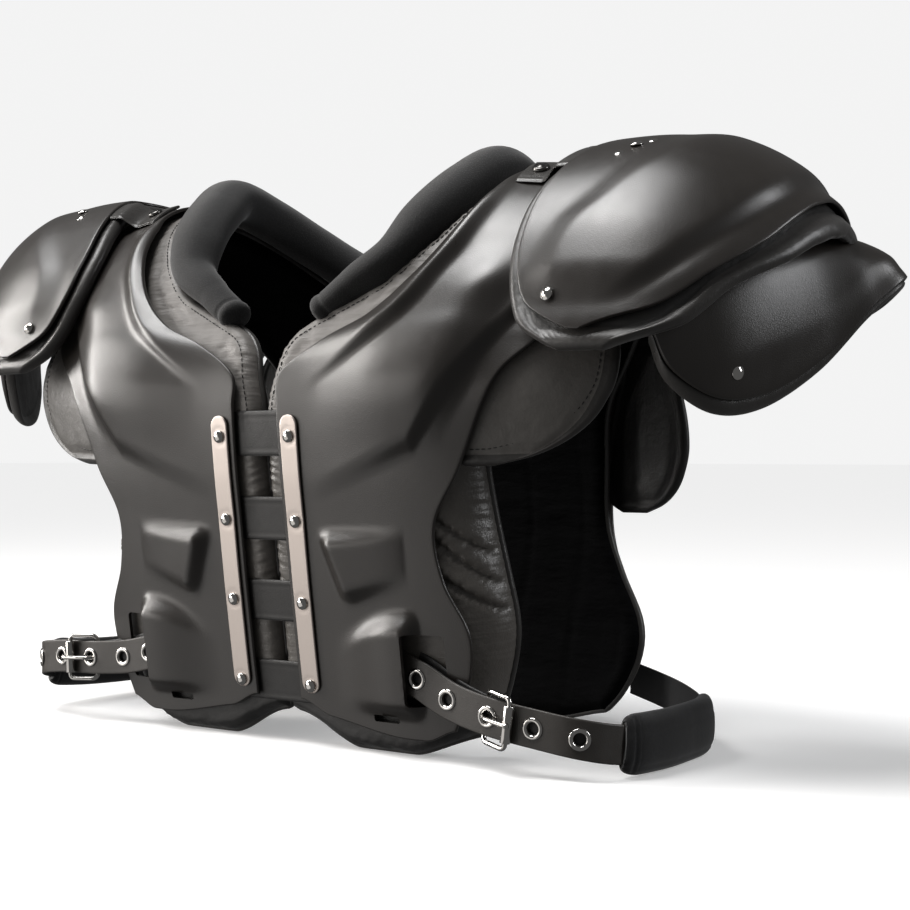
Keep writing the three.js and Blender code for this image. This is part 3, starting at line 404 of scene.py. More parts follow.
def cushion(name, grid, uv, place, middle, half, materials, shape, pick, flip):
    """A sheet sewn all round: grid holds two coordinates of each point and its distance from the rim.

    shape(a, b, side, distance) lifts the surface, and pick, called the same way for the middle of
    each face, gives the number of its material.
    """
    a, b, distance = grid
    points = []
    for side in (1, -1):
        lift = middle + side * half
        if shape is not None:
            lift = lift + side * shape(a, b, side, distance)
        points.append(place(a, b, lift))
    for line in EDGES:
        points[0][line] = points[1][line] = (points[0][line] + points[1][line]) / 2
    cloud, faces = sheet(*points, EDGES)
    index = None
    if pick is not None:
        mid_a, mid_b, mid_distance = ((g[:-1, :-1] + g[1:, 1:]) / 2 for g in grid)
        index = np.concatenate([pick(mid_a, mid_b, side, mid_distance).ravel() for side in (1, -1)])
    uv = np.stack(uv, -1).reshape(-1, 2)
    return make(name, cloud, outward(cloud, faces), materials, np.concatenate([uv, uv]), index, flip)


def tube_ids(rows, sides):
    """Point numbers of a tube's rings, each with its first point again at its end."""
    ids = np.arange(rows * sides).reshape(rows, sides)
    return np.concatenate([ids, ids[:, :1]], 1)


def spaced(count, rim, length):
    """Positions from 0 to length: close together in the rim at both ends, even between."""
    near = rim * (1 - np.cos(np.linspace(0, np.pi / 2, 7)[:-1]))
    length = np.asarray(length, float)[..., None]
    inner = rim + (length - 2 * rim) * np.linspace(0, 1, count)
    start = np.broadcast_to(near, (*inner.shape[:-1], near.shape[-1]))
    return np.concatenate([start, inner, length - start[..., ::-1]], -1)


class Panel:
    """A closed sheet on a form: rows along s, from low(u) to high(u), and x from a(s) to b(s)."""

    def __init__(self, a, b, low, high, place, middle, half, rim, crowd=None):
        self.crowd = crowd
        self.a, self.b, self.place = a, b, place
        self.low = low if callable(low) else lambda u: low + 0 * u
        self.high = high if callable(high) else lambda u: high + 0 * u
        self.middle, self.half, self.rim = middle, half, rim

    def grid(self, rows, cols):
        """The x and s of the sheet's points, and their distance from its rim."""
        stations = np.linspace(self.low(0.5), self.high(0.5), 9)
        width = float(np.mean(self.b(stations) - self.a(stations)))
        u = spaced(cols, min(self.rim, width / 3), width) / width
        low, high = self.low(u), self.high(u)
        length = (high - low) * PROFILE_LENGTH
        v = spaced(rows, self.rim, length)
        if self.crowd is not None:
            v = self.crowded(v, length)
        s = (low[:, None] + v / PROFILE_LENGTH).T
        a, b = self.a(s), self.b(s)
        span = np.maximum(b - a, 0.5)
        first = span[:, :1]
        x = a + spaced(cols, np.minimum(self.rim, first / 3), first[:, 0]) * span / first
        hem = np.minimum(v.T, (length[:, None] - v).T)
        distance = np.minimum(np.minimum(x - a, b - x), hem)
        return x, s, np.maximum(distance, 0)

    def crowded(self, v, length):
        """Rows moved closer together where crowd asks for it, the rims left as they are."""
        at, pitch = self.crowd
        mean = float(np.mean(length))
        places = np.linspace(self.rim, mean - self.rim, 2000)
        share = np.cumsum(1 / np.interp(places / mean, at, pitch))
        share = (share - share[0]) / (share[-1] - share[0])
        inner = length[:, None] - 2 * self.rim
        t = (v - self.rim) / inner
        moved = np.interp(clamp(t), share, (places - self.rim) / (mean - 2 * self.rim))
        return np.where((t < 0) | (t > 1), v, self.rim + moved * inner)

    def thickness(self, distance):
        return self.half * rounded(distance / self.rim)

    def build(self, name, rows, cols, materials, shape=None, pick=None, flip=False):
        x, s, distance = self.grid(rows, cols)
        return cushion(name, (x, s, distance), (x, s * PROFILE_LENGTH), self.place, self.middle,
                       self.thickness(distance), materials, shape, pick, flip)

    def loop(self, inset, count=400):
        """The rim's path set in by inset, as x and s, closed."""
        u = np.linspace(0, 1, count)
        low, high = self.low(u), self.high(u)
        s_up = np.linspace(float(self.low(1.0)), float(self.high(1.0)), count)
        s_down = np.linspace(float(self.high(0.0)), float(self.low(0.0)), count)
        x_low, x_high = mix(self.a(low), self.b(low), u), mix(self.a(high), self.b(high), u)
        x = np.concatenate([x_low, self.b(s_up), x_high[::-1], self.a(s_down)])
        y = np.concatenate([low, s_up, high[::-1], s_down]) * PROFILE_LENGTH
        keep = np.hypot(np.diff(x, append=x[:1]), np.diff(y, append=y[:1])) > 1e-4
        x, y = resample(x[keep], y[keep], 1.5)
        dx, dy = np.roll(x, -2) - np.roll(x, 2), np.roll(y, -2) - np.roll(y, 2)
        size = np.hypot(dx, dy) + 1e-9
        px, py = x - dy / size * inset, y + dx / size * inset
        for _ in range(6):
            px = (np.roll(px, 1) + 2 * px + np.roll(px, -1)) / 4
            py = (np.roll(py, 1) + 2 * py + np.roll(py, -1)) / 4
        return px, py / PROFILE_LENGTH


def walked(path):
    """The length walked at each point of a path."""
    return np.concatenate([[0], np.cumsum(np.linalg.norm(np.diff(path, axis=0), axis=1))])


def read_off(values, run, at):
    """Points or directions of a path, given at the lengths run, at other lengths."""
    return np.stack([np.interp(at, run, values[:, k]) for k in range(3)], -1)


def resample(x, y, pitch):
    """A closed path walked in even steps."""
    cx, cy = np.append(x, x[0]), np.append(y, y[0])
    run = np.concatenate([[0], np.cumsum(np.hypot(np.diff(cx), np.diff(cy)))])
    at = np.linspace(0, run[-1], max(12, int(run[-1] / pitch)), endpoint=False)
    return np.interp(at, run, cx), np.interp(at, run, cy)


def catmull(points, samples):
    """A centripetal Catmull-Rom curve through the points, walked evenly."""
    p = np.asarray(points, float)
    p = np.concatenate([[2 * p[0] - p[1]], p, [2 * p[-1] - p[-2]]])
    out = []
    for i in range(1, len(p) - 2):
        p0, p1, p2, p3 = p[i - 1:i + 3]
        t0 = 0.0
        t1 = t0 + np.linalg.norm(p1 - p0) ** 0.5
        t2 = t1 + np.linalg.norm(p2 - p1) ** 0.5
        t3 = t2 + np.linalg.norm(p3 - p2) ** 0.5
        t = np.linspace(t1, t2, 60, endpoint=i == len(p) - 3)[:, None]
        a1 = (t1 - t) / (t1 - t0) * p0 + (t - t0) / (t1 - t0) * p1
        a2 = (t2 - t) / (t2 - t1) * p1 + (t - t1) / (t2 - t1) * p2
        a3 = (t3 - t) / (t3 - t2) * p2 + (t - t2) / (t3 - t2) * p3
        b1 = (t2 - t) / (t2 - t0) * a1 + (t - t0) / (t2 - t0) * a2
        b2 = (t3 - t) / (t3 - t1) * a2 + (t - t1) / (t3 - t1) * a3
        out.append((t2 - t) / (t2 - t1) * b1 + (t - t1) / (t2 - t1) * b2)
    dense = np.concatenate(out)
    run = walked(dense)
    return read_off(dense, run, np.linspace(0, run[-1], samples))


def unit(v):
    return v / np.maximum(np.linalg.norm(v, axis=-1, keepdims=True), 1e-9)


def tangents(path, closed=False):
    if closed:
        return unit(np.roll(path, -1, 0) - np.roll(path, 1, 0))
    return unit(np.gradient(path, axis=0))


def sweep(path, up, wide, tall, sides=10, closed=False):
    """Points and quads of a tube along a path, its height along up, half sizes wide and tall."""
    along = tangents(path, closed)
    across = unit(np.cross(up, along))
    high = unit(np.cross(along, across))
    angle = np.linspace(0, 2 * np.pi, sides, endpoint=False)
    wide = np.broadcast_to(np.asarray(wide, float), len(path))
    tall = np.broadcast_to(np.asarray(tall, float), len(path))
    cx, cy = np.cos(angle), np.sin(angle)
    points = (path[:, None] + across[:, None] * (wide[:, None] * cx)[..., None]
              + high[:, None] * (tall[:, None] * cy)[..., None])
    ids = tube_ids(len(path), sides)
    if closed:
        ids = np.concatenate([ids, ids[:1]], 0)
    faces = quads(ids)
    points = points.reshape(-1, 3)
    if not closed:
        caps = []
        for row, turn in ((ids[0, :-1], 1), (ids[-1, :-1], -1)):
            centre = len(points)
            points = np.concatenate([points, points[row].mean(0, keepdims=True)])
            ring = row[::turn]
            nxt = np.roll(ring, -1)
            caps.append(np.stack([ring, nxt, np.full(sides, centre), np.full(sides, centre)], -1))
        faces = np.concatenate([faces, *caps])
    return points, faces


def combine(parts):
    """Several (points, faces) made into one."""
    points, faces, start = [], [], 0
    for p, f in parts:
        points.append(p)
        faces.append(np.asarray(f) + start)
        start += len(p)
    return np.concatenate(points), np.concatenate(faces)


def revolve(outline, centre, axis, sides=24):
    """A turned shape: outline holds (radius, height) pairs from the axis or rim onwards."""
    axis = unit(np.asarray(axis, float))
    helper = np.array([0, 0, 1.0]) if abs(axis[2]) < 0.9 else np.array([1.0, 0, 0])
    u = unit(np.cross(helper, axis))
    v = np.cross(axis, u)
    angle = np.linspace(0, 2 * np.pi, sides, endpoint=False)
    ring = np.cos(angle)[:, None] * u + np.sin(angle)[:, None] * v
    points = np.array([centre + r * ring + h * axis for r, h in outline])
    return points.reshape(-1, 3), quads(tube_ids(len(outline), sides))


def stitches(path, normal, length=2.6, pitch=3.8, radius=0.38):
    """A row of thread stitches lying along a path."""
    run = walked(path)
    rise = np.sin(np.linspace(0, np.pi, 5))
    pieces = []
    for start in np.arange(0.5, run[-1] - length, pitch):
        at = np.linspace(start, start + length, 5)
        n = unit(read_off(normal, run, at))
        p = read_off(path, run, at) + n * (rise[:, None] * 0.42 - 0.12)
        pieces.append(sweep(p, n, radius * (0.5 + 0.5 * rise), radius * 0.8, 6))
    return combine(pieces)


def surface_path(panel, x, s, lift):
    """A path on a panel's outer side, with the direction away from it."""
    distance = np.minimum(x - panel.a(s), panel.b(s) - x)
    hem = np.minimum(s - panel.low(0.5), panel.high(0.5) - s) * PROFILE_LENGTH
    half = panel.thickness(np.maximum(np.minimum(distance, hem), 0))
    p = panel.place(x, s, panel.middle + half + lift)
    q = panel.place(x, s, panel.middle + half + lift + 1)
    return p, unit(q - p)


# Materials
def node(tree, kind, **values):
    n = tree.nodes.new(kind)
    for key, value in values.items():
        if key in n.inputs:
            n.inputs[key].default_value = value
        else:
            setattr(n, key, value)
    return n


class Look:
    """A material whose shader sockets are fed one at a time."""

    def __init__(self, name, colour, roughness, metallic=0.0, **more):
        self.material = bpy.data.materials.new(name)
        self.material.use_nodes = True
        self.tree = self.material.node_tree
        self.shader = self.tree.nodes["Principled BSDF"]
        self.colour = colour
        self.shader.inputs["Base Color"].default_value = (*colour, 1)
        self.shader.inputs["Roughness"].default_value = roughness
        self.shader.inputs["Metallic"].default_value = metallic
        for key, value in more.items():
            self.shader.inputs[key.replace("_", " ")].default_value = value
        self.coords = self.tree.nodes.new("ShaderNodeTexCoord")
        self.normal = None

    def wire(self, a, b):
        self.tree.links.new(a, b)

    def noise(self, scale, detail=3.0, space="Object", stretch=None, roughness=0.55):
        n = node(self.tree, "ShaderNodeTexNoise", Scale=scale, Detail=detail, Roughness=roughness)
        self.feed(n, space, stretch)
        return n.outputs["Fac"]

    def feed(self, n, space, stretch):
        source = self.coords.outputs[space]
        if stretch is not None:
            mapping = node(self.tree, "ShaderNodeMapping", Scale=stretch)
            self.wire(source, mapping.inputs["Vector"])
            source = mapping.outputs["Vector"]
        self.wire(source, n.inputs["Vector"])

    def cells(self, scale, space="Object"):
        n = node(self.tree, "ShaderNodeTexVoronoi", Scale=scale)
        self.feed(n, space, None)
        return n.outputs["Distance"]

    def wave(self, scale, direction, space="UV"):
        n = node(self.tree, "ShaderNodeTexWave", Scale=scale, bands_direction=direction)
        self.feed(n, space, None)
        return n.outputs["Fac"]

    def remap(self, value, low, high, to_low, to_high):
        n = node(self.tree, "ShaderNodeMapRange")
        for key, v in (("From Min", low), ("From Max", high), ("To Min", to_low), ("To Max", to_high)):
            n.inputs[key].default_value = v
        self.wire(value, n.inputs["Value"])
        return n.outputs["Result"]

    def spread(self, noise, low, high):
        """Noise, which lies mostly between 0.3 and 0.7, brought to between low and high."""
        return self.remap(noise, 0.3, 0.7, low, high)

    def maths(self, kind, a, b):
        n = node(self.tree, "ShaderNodeMath", operation=kind)
        for k, value in enumerate((a, b)):
            if isinstance(value, (int, float)):
                n.inputs[k].default_value = value
            else:
                self.wire(value, n.inputs[k])
        return n.outputs[0]

    def tint(self, value, dark, light):
        """Colour runs from dark to light times the base colour as the value goes from 0 to 1."""
        ramp = self.tree.nodes.new("ShaderNodeValToRGB")
        for e, k in zip(ramp.color_ramp.elements, (dark, light)):
            e.color = (*[min(1.0, c * k) for c in self.colour], 1)
        self.wire(value, ramp.inputs["Fac"])
        self.wire(ramp.outputs["Color"], self.shader.inputs["Base Color"])

    def rough(self, value):
        self.wire(value, self.shader.inputs["Roughness"])

    def relief(self, value, strength, distance):
        b = node(self.tree, "ShaderNodeBump", Strength=strength, Distance=distance)
        self.wire(value, b.inputs["Height"])
        if self.normal is not None:
            self.wire(self.normal, b.inputs["Normal"])
        self.normal = b.outputs["Normal"]
        self.wire(self.normal, self.shader.inputs["Normal"])


def moulded(name, colour, low_rough, high_rough):
    look = Look(name, colour, 0.4, Specular_IOR_Level=0.55, Coat_Weight=0.12, Coat_Roughness=0.3)
    grain = look.cells(1500)
    cloud = look.noise(9, 4)
    scuff = look.noise(120, 5, stretch=(1, 1, 0.25))
    look.relief(grain, 0.18, 0.0003)
    look.relief(look.noise(34, 2), 0.05, 0.002)
    look.tint(look.spread(cloud, 0, 1), 0.86, 1.14)
    worn = look.maths("ADD", look.maths("MULTIPLY", cloud, 0.6), look.maths("MULTIPLY", scuff, 0.4))
    look.rough(look.spread(worn, low_rough, high_rough))
    return look.material


def coated_cloth(name, colour, rough, crease=0.25, pucker=0.0):
    """Cloth with a fine weave and soft folds, and with stretched puckers if asked for."""
    look = Look(name, colour, rough, Specular_IOR_Level=0.5, Sheen_Weight=0.08, Sheen_Roughness=0.4)
    if pucker:
        look.relief(look.noise(1, 2, space="UV", stretch=(30, 260, 1)), pucker, 0.0012)
    grid = look.maths("MULTIPLY", *[look.wave(550, way, "Object") for way in "XZ"])
    fold = look.noise(55, 4, roughness=0.6)
    look.relief(fold, crease, 0.004)
    look.relief(grid, 0.16, 0.0003)
    look.relief(look.noise(900, 2), 0.08, 0.0003)
    look.tint(look.spread(look.noise(14, 4), 0, 1), 0.84, 1.15)
    look.rough(look.spread(fold, rough - 0.07, rough + 0.09))
    return look.material


def stippled(name, colour, pitch):
    look = Look(name, colour, 0.86, Specular_IOR_Level=0.3, Sheen_Weight=0.25, Sheen_Roughness=0.5)
    dots = look.cells(pitch)
    look.relief(look.remap(dots, 0.15, 0.5, 1, 0), 0.3, 0.0004)
    look.relief(look.noise(45, 3), 0.12, 0.003)
    look.tint(look.remap(dots, 0.1, 0.6, 1, 0), 0.75, 1.25)
    return look.material


def woven(name, colour, rough=0.75, pitch=520):
    look = Look(name, colour, rough, Specular_IOR_Level=0.35, Sheen_Weight=0.1)
    rib = look.wave(pitch, "X")
    cross = look.wave(pitch * 0.8, "Y")
    look.relief(look.maths("MULTIPLY", rib, cross), 0.5, 0.0005)
    look.tint(look.maths("MULTIPLY", rib, cross), 0.6, 1.35)
    look.relief(look.noise(120, 3), 0.12, 0.001)
    return look.material


def quilted(name, colour):
    look = Look(name, colour, 0.9, Specular_IOR_Level=0.05)
    look.relief(look.noise(42, 5, stretch=(0.5, 0.5, 1.5)), 0.6, 0.006)
    look.relief(look.cells(900), 0.2, 0.0003)
    look.tint(look.noise(30, 4), 0.7, 1.3)
    return look.material


def metal(name, colour, rough, brushed=None):
    look = Look(name, colour, rough, 1.0)
    if brushed:
        marks = look.noise(60, 4, stretch=brushed)
        look.relief(marks, 0.04, 0.0001)
    else:
        marks = look.noise(500, 3)
    look.rough(look.spread(marks, rough - 0.04, rough + 0.06))
    if not brushed:
        look.relief(look.noise(160, 2), 0.05, 0.0005)
    return look.material


def plain_strap(name, colour, rough):
    look = Look(name, colour, rough, Specular_IOR_Level=0.5)
    look.relief(look.cells(1300), 0.16, 0.0003)
    look.relief(look.noise(70, 4), 0.1, 0.002)
    look.tint(look.noise(40, 4), 0.85, 1.15)
    look.rough(look.spread(look.noise(200, 3), rough - 0.07, rough + 0.08))
    return look.material


SHELL = moulded("moulded_shell", (0.021, 0.0182, 0.016), 0.27, 0.38)
NYLON = coated_cloth("coated_nylon_grey", (0.17, 0.16, 0.15), 0.45, crease=0.15, pucker=0.7)
NYLON_SMOOTH = coated_cloth("coated_nylon_smooth", (0.1, 0.094, 0.087), 0.42)
NYLON_DARK = coated_cloth("coated_nylon_dark", (0.1, 0.092, 0.083), 0.33, crease=0.3, pucker=0.4)
NYLON_BLACK = coated_cloth("coated_nylon_black", (0.014, 0.0135, 0.013), 0.42)
BINDING = coated_cloth("binding_tape", (0.035, 0.033, 0.031), 0.34, crease=0.2)
LINING = quilted("quilted_lining", (0.0022, 0.0022, 0.0024))
NEOPRENE = stippled("stippled_knit", (0.017, 0.0168, 0.017), 950)
NEOPRENE_BLACK = stippled("sleeve_knit", (0.007, 0.007, 0.0075), 1300)
WEBBING = woven("woven_webbing", (0.016, 0.016, 0.017))
BELT = plain_strap("coated_belt", (0.04, 0.036, 0.032), 0.4)
BELT_BACK = plain_strap("belt_back", (0.01, 0.01, 0.01), 0.5)
LINK_BAND = plain_strap("link_band", (0.013, 0.0125, 0.012), 0.46)
TAB = plain_strap("tab_strap", (0.04, 0.038, 0.036), 0.3)
STEEL = metal("strip_steel", (0.52, 0.465, 0.43), 0.42, (9, 9, 0.5))
CHROME = metal("plated_steel", (0.6, 0.585, 0.565), 0.1)
DARK_METAL = metal("dark_snap", (0.16, 0.155, 0.15), 0.18)
THREAD = woven("thread", (0.04, 0.039, 0.037), 0.7, 2000)
THREAD_BLACK = woven("thread_black", (0.012, 0.012, 0.012), 0.7, 2000)

SIDES = (("left_", False), ("right_", True))


def fit(obj, replaced=(), slot=None, fill=None):
    """obj rides on the only body and stands for the CAD nodes it replaces."""
    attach(obj, "root")
    if replaced:
        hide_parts(*replaced)
    return obj


def add_mesh(name, points, faces, material, flip=False, uv=None, **words):
    return fit(make(name, points, outward(points, faces), [material], uv, flip=flip), **words)


def sew(name, path, normal, thread):
    """A row of stitches on each half."""
    for side, flip in SIDES:
        mirror = np.array([-1, 1, 1]) if flip else 1
        points, faces = stitches(path * mirror, normal * mirror)
        add_mesh(side + name, points, faces, thread)


# Arch shells
def front_hem(u):
    rise = 0.062 - 0.03 * step(0, 0.75, u) + 0.02 * step(0.85, 1, u)
    return along_at(part(rise + 0.02 * (1 - step(0, 0.2, u))))


shell_panel = Panel(
    shell_in, shell_out, front_hem, float(along_at(part(0.05), True)),
    on_body, middle=SHELL_WALL / 2, half=SHELL_WALL / 2, rim=1.4,
    crowd=([0, 0.46, 0.5, 1], [2.4, 2.4, 6.5, 6.5]),
)


def shell_shape(x, s, side, distance):
    return side * shell_relief(x, s)


def rounded_box(low, high, radius, steps):
    """The outline of a box with round corners, in its own plane."""
    (x0, z0), (x1, z1) = low, high
    centres = [(x1 - radius, z1 - radius), (x0 + radius, z1 - radius),
               (x0 + radius, z0 + radius), (x1 - radius, z0 + radius)]
    loop = []
    for turn, (x, z) in enumerate(centres):
        for k in range(steps):
            angle = math.radians(90 * turn + 90 / (steps - 1) * k)
            loop.append((x + radius * math.cos(angle), z + radius * math.sin(angle)))
    return np.array(loop)


CUT_REACH = 60.0


def slot_tool(low, high, radius, flip):
    """A bar with round corners, used to cut a slot through a shell."""
    loop = rounded_box(low, high, radius, 7)
    n = len(loop)
    front = np.stack([loop[:, 0], np.full(n, -CUT_REACH), loop[:, 1]], -1)
    back = front + np.array([0, 2 * CUT_REACH, 0])
    middle = np.array([loop.mean(0)[0], 0, loop.mean(0)[1]])
    ends = [middle + [0, -CUT_REACH, 0], middle + [0, CUT_REACH, 0]]
    points = np.concatenate([front, back, ends])
    i = np.arange(n)
    j = (i + 1) % n
    tris = np.concatenate([
        np.stack([i, j, j + n], -1), np.stack([i, j + n, i + n], -1),
        np.stack([j, i, np.full(n, 2 * n)], -1), np.stack([i + n, j + n, np.full(n, 2 * n + 1)], -1),
    ])
    return make("slot_tool", points, outward(points, tris), [], flip=flip)


def cut_out(obj, tools):
    """obj with the tools' shapes cut away, and the tools removed."""
    for tool in tools:
        m = obj.modifiers.new("cut", "BOOLEAN")
        m.operation, m.solver, m.object = "DIFFERENCE", "EXACT", tool
    graph = bpy.context.evaluated_depsgraph_get()
    mesh = bpy.data.meshes.new_from_object(obj.evaluated_get(graph))
    obj.modifiers.clear()
    obj.data = mesh
    mesh.polygons.foreach_set("use_smooth", np.ones(len(mesh.polygons), bool))
    for tool in tools:
        bpy.data.objects.remove(tool)


def split_edges(obj, degrees):
    """Sharp shading where faces meet at more than this angle."""
    obj.modifiers.new("edge", "EDGE_SPLIT").split_angle = math.radians(degrees)


SMALL_SLOT = np.array([0.235 * HALF_WIDTH, part(0.063)])
SMALL_SLOT_HALF = np.array([10.0, 2.25])
SLOTS = [
    ((SLOT["in"], SLOT["low"]), (SLOT["out"], SLOT["top"]), 3.0),
    (SMALL_SLOT - SMALL_SLOT_HALF, SMALL_SLOT + SMALL_SLOT_HALF, 1.6),
]
for side, flip in SIDES:
    shell = shell_panel.build(side + "arch_shell_skin", rows=200, cols=80, materials=[SHELL],
                              shape=shell_shape, flip=flip)
    cut_out(shell, [slot_tool(*slot, flip) for slot in SLOTS])
    split_edges(shell, 50)
    fit(shell, [side + "arch_shell"], "shell")


# Body pads
PAD_TOP = -3 * LAYER_GAP - WEBBING_WALL


def pad_hem(u):
    return along_at(part(0.055 * (1 - step(0, 0.4, u)) + 0.03 * step(0.7, 1, u)))


def pad_back_hem(u):
    return along_at(part(0.02 * step(0.7, 1, u)), True)


def place_pad(x, s, lift):
    """A body pad follows the body and wraps inward at its outer edge."""
    a, b = pad_in(s), pad_out(s)
    crosswise = clamp((x - a) / (b - a))
    upright = np.abs(profile_normal(s)[0])
    most = PAD_WRAP * np.where(s > TOP_ALONG, 0.35, 0.25 + 0.75 * upright)
    wrap = most * clamp((crosswise - 0.78) / 0.22) ** 2
    return on_body(x, s, lift, wrap)


body_panel = Panel(
    pad_in, pad_out, pad_hem, pad_back_hem,
    place_pad, middle=PAD_TOP - PAD_WALL / 2, half=PAD_WALL / 2, rim=9.0,
    crowd=([0, 0.08, 0.1, 0.19, 0.21, 0.3, 0.32, 0.5, 0.52, 1], [3, 3, 1.3, 1.3, 2.6, 2.6, 3, 3, 7, 7]),
)
PAD_SEAMS = (
    ((0.35, 0.395), (0.45, 0.31)),
    ((0.335, 0.375), (0.45, 0.265)),
    ((0.33, 0.32), (0.45, 0.23)),
)
CORD_RADIUS = 2.5
CORD_INSET = 0.4
STITCH_INSET = 7.5
STITCH_LIFT = 0.45


def gathers(run, pitch):
    """Uneven little folds along run."""
    turn = 2 * np.pi * run / pitch
    slow, quick = turn + 2.2 * np.sin(turn / 7.3), turn * 1.63 + 1.9 * np.sin(turn / 5.1)
    return 0.6 * np.sin(slow) + 0.4 * np.sin(quick)


def seam_crease(x, z, a, b):
    """A sewn line from a to b: a groove with a swell beside it, and folds across both."""
    (ax, az), (bx, bz) = corner(*a), corner(*b)
    length = math.hypot(bx - ax, bz - az)
    off = ((bx - ax) * (z - az) - (bz - az) * (x - ax)) / length
    lengthwise = ((bx - ax) * (x - ax) + (bz - az) * (z - az)) / length
    inside = step(-8, 0, lengthwise) * (1 - step(length, length + 8, lengthwise))
    folds = gathers(lengthwise, 6.2) * bump(off, 6)
    return (1.6 * bump(off - 5, 3.2) - 3.6 * bump(off, 1.3) + folds) * inside


def pad_shape(x, s, side, distance):
    """Puckered rims and sewn creases outside, quilting inside."""
    z = profile_z(s)
    y = s * PROFILE_LENGTH
    puff = 1.3 * step(1, 12, distance)
    if side < 0:
        quilt = -1.4 * bump(np.mod(y + 4 * np.sin(x / 23), 34) - 17, 3.2)
        quilt = quilt - 1.0 * bump(np.mod(x + 5 * np.sin(y / 31), 46) - 23, 3.0)
        return puff * 0.5 + quilt * step(6, 16, distance)
    pucker = 0.75 * gathers(y + 0.35 * x, 6.4) * bump(distance - 4, 6)
    from_neck = x - pad_in(s)
    by_neck = step(part(0.6), part(0.66), z) * step(4, 9, from_neck) * (1 - step(34, 46, from_neck))
    gather = 0.6 * gathers(y + 0.5 * x, 4.2) * by_neck
    crease = sum(seam_crease(x, z, *seam) for seam in PAD_SEAMS)
    return puff * 0.4 + (pucker + crease * step(1, 5, distance)) * (s < TOP_ALONG) + gather


def pad_pick(x, s, side, distance):
    """Grey cloth high in front, darker below and behind, a black front hem and the lining inside."""
    fabric = np.where(profile_z(s) > part(0.58), 0, 1)
    fabric = np.where(profile_z(s) < part(0.1), 3, fabric)
    cover = np.where(s > TOP_ALONG, 1, fabric)
    return np.where(side < 0, 2, cover)


PAD_CLOTHS = [NYLON, NYLON_DARK, LINING, NYLON_BLACK]
cord_x, cord_s = body_panel.loop(CORD_INSET)
cord = place_pad(cord_x, cord_s, body_panel.middle)
cord_up = unit(place_pad(cord_x, cord_s, body_panel.middle + 1) - cord)
points, faces = sweep(cord[::2], cord_up[::2], CORD_RADIUS, CORD_RADIUS, 9, closed=True)
for side, flip in SIDES:
    pad = body_panel.build(side + "body_pad_cover", rows=262, cols=66, materials=PAD_CLOTHS,
                           shape=pad_shape, pick=pad_pick, flip=flip)
    fit(pad, [side + "body_pad"], "nylon", fill=0.7)
    add_mesh(side + "body_pad_piping", points, faces, BINDING, flip)

seam_x, seam_s = body_panel.loop(STITCH_INSET)
seam_path, seam_normal = surface_path(body_panel, seam_x, seam_s, STITCH_LIFT)
high_up = (seam_s < TOP_ALONG) & (profile_z(seam_s) > part(0.56))
by_neck = high_up & (seam_x < pad_in(seam_s) + 14)
first = int(np.argmax(~by_neck)) if by_neck[0] else 0
by_neck, seam_path, seam_normal = (np.roll(v, -first, 0) for v in (by_neck, seam_path, seam_normal))
sew("body_pad_stitches", seam_path[by_neck], seam_normal[by_neck], THREAD_BLACK)


# Neck rolls
ROLL = columns("x y z wide", [
    [0.088, 0.055, 0.742, 0.3],
    [0.125, 0.06, 0.766, 0.62],
    [0.167, 0.068, 0.797, 0.78],
    [0.228, 0.1, 0.838, 0.95],
    [0.262, 0.17, 0.9, 1],
    [0.292, 0.285, 0.962, 1],
    [0.312, 0.4, 1.0, 1],
    [0.3, 0.551, 0.975, 1],
    [0.257, 0.684, 0.925, 1],
    [0.191, 0.787, 0.87, 1],
    [0.123, 0.844, 0.84, 0.95],
    [0.05, 0.87, 0.825, 0.7],
])
ROLL_SAMPLES = 240
UP = np.array([0, 0, 1.0])
roll_points = np.stack([ROLL["x"] * HALF_WIDTH, ROLL["y"] * DEPTH, ROLL["z"] * SHOULDER_HEIGHT], -1)
roll_path = catmull(roll_points, ROLL_SAMPLES)
t = np.linspace(0, 1, ROLL_SAMPLES)
ends = np.minimum(t, 1 - t) * ROLL_SAMPLES
share = np.maximum(smooth(np.linspace(0, 1, len(ROLL["wide"])), ROLL["wide"], t), 0.62)
share = share * rounded(ends / 4.5, 0.0006)
share = share * (1 + 0.04 * bump(ends - 5, 2.0) - 0.07 * bump(ends - 8, 0.8))
points, faces = sweep(roll_path, np.broadcast_to(UP, roll_path.shape), ROLL_HALF_WIDTH * share,
                      ROLL_HALF_HEIGHT * share, 48)
for side, flip in SIDES:
    add_mesh(side + "neck_roll_cover", points, faces, NEOPRENE, flip,
             replaced=[side + "neck_roll"], slot="neoprene", fill=0.9)


# Panels whose outline is a short table
def outline(rows):
    """A panel's inner and outer edge, and where it starts and ends along the profile."""
    table = columns("at inner outer", rows)
    inner = lambda s: smooth(table["at"], table["inner"], s) * HALF_WIDTH
    outer = lambda s: smooth(table["at"], table["outer"], s) * HALF_WIDTH
    return inner, outer, float(table["at"][0]), float(table["at"][-1])


FRONT_FLAP = [
    [0.21, 0.42, 0.462], [0.217, 0.37, 0.535], [0.23, 0.345, 0.595], [0.248, 0.345, 0.634],
    [0.275, 0.345, 0.655], [0.31, 0.345, 0.656], [0.335, 0.36, 0.64],
]
REAR_FLAP = [
    [0.68, 0.4, 0.47], [0.7, 0.39, 0.5], [0.74, 0.36, 0.527], [0.775, 0.34, 0.535],
    [0.797, 0.336, 0.523], [0.811, 0.34, 0.505], [0.822, 0.352, 0.475], [0.829, 0.38, 0.435],
]
FLAP_MIDDLE = -LAYER_GAP - 1 - FLAP_WALL / 2
FLAP_RIM = 5.0
FLAP_BINDING = 7
FLAP_STITCH_INSET = 10.5
FLAP_STITCH_LIFT = -0.7


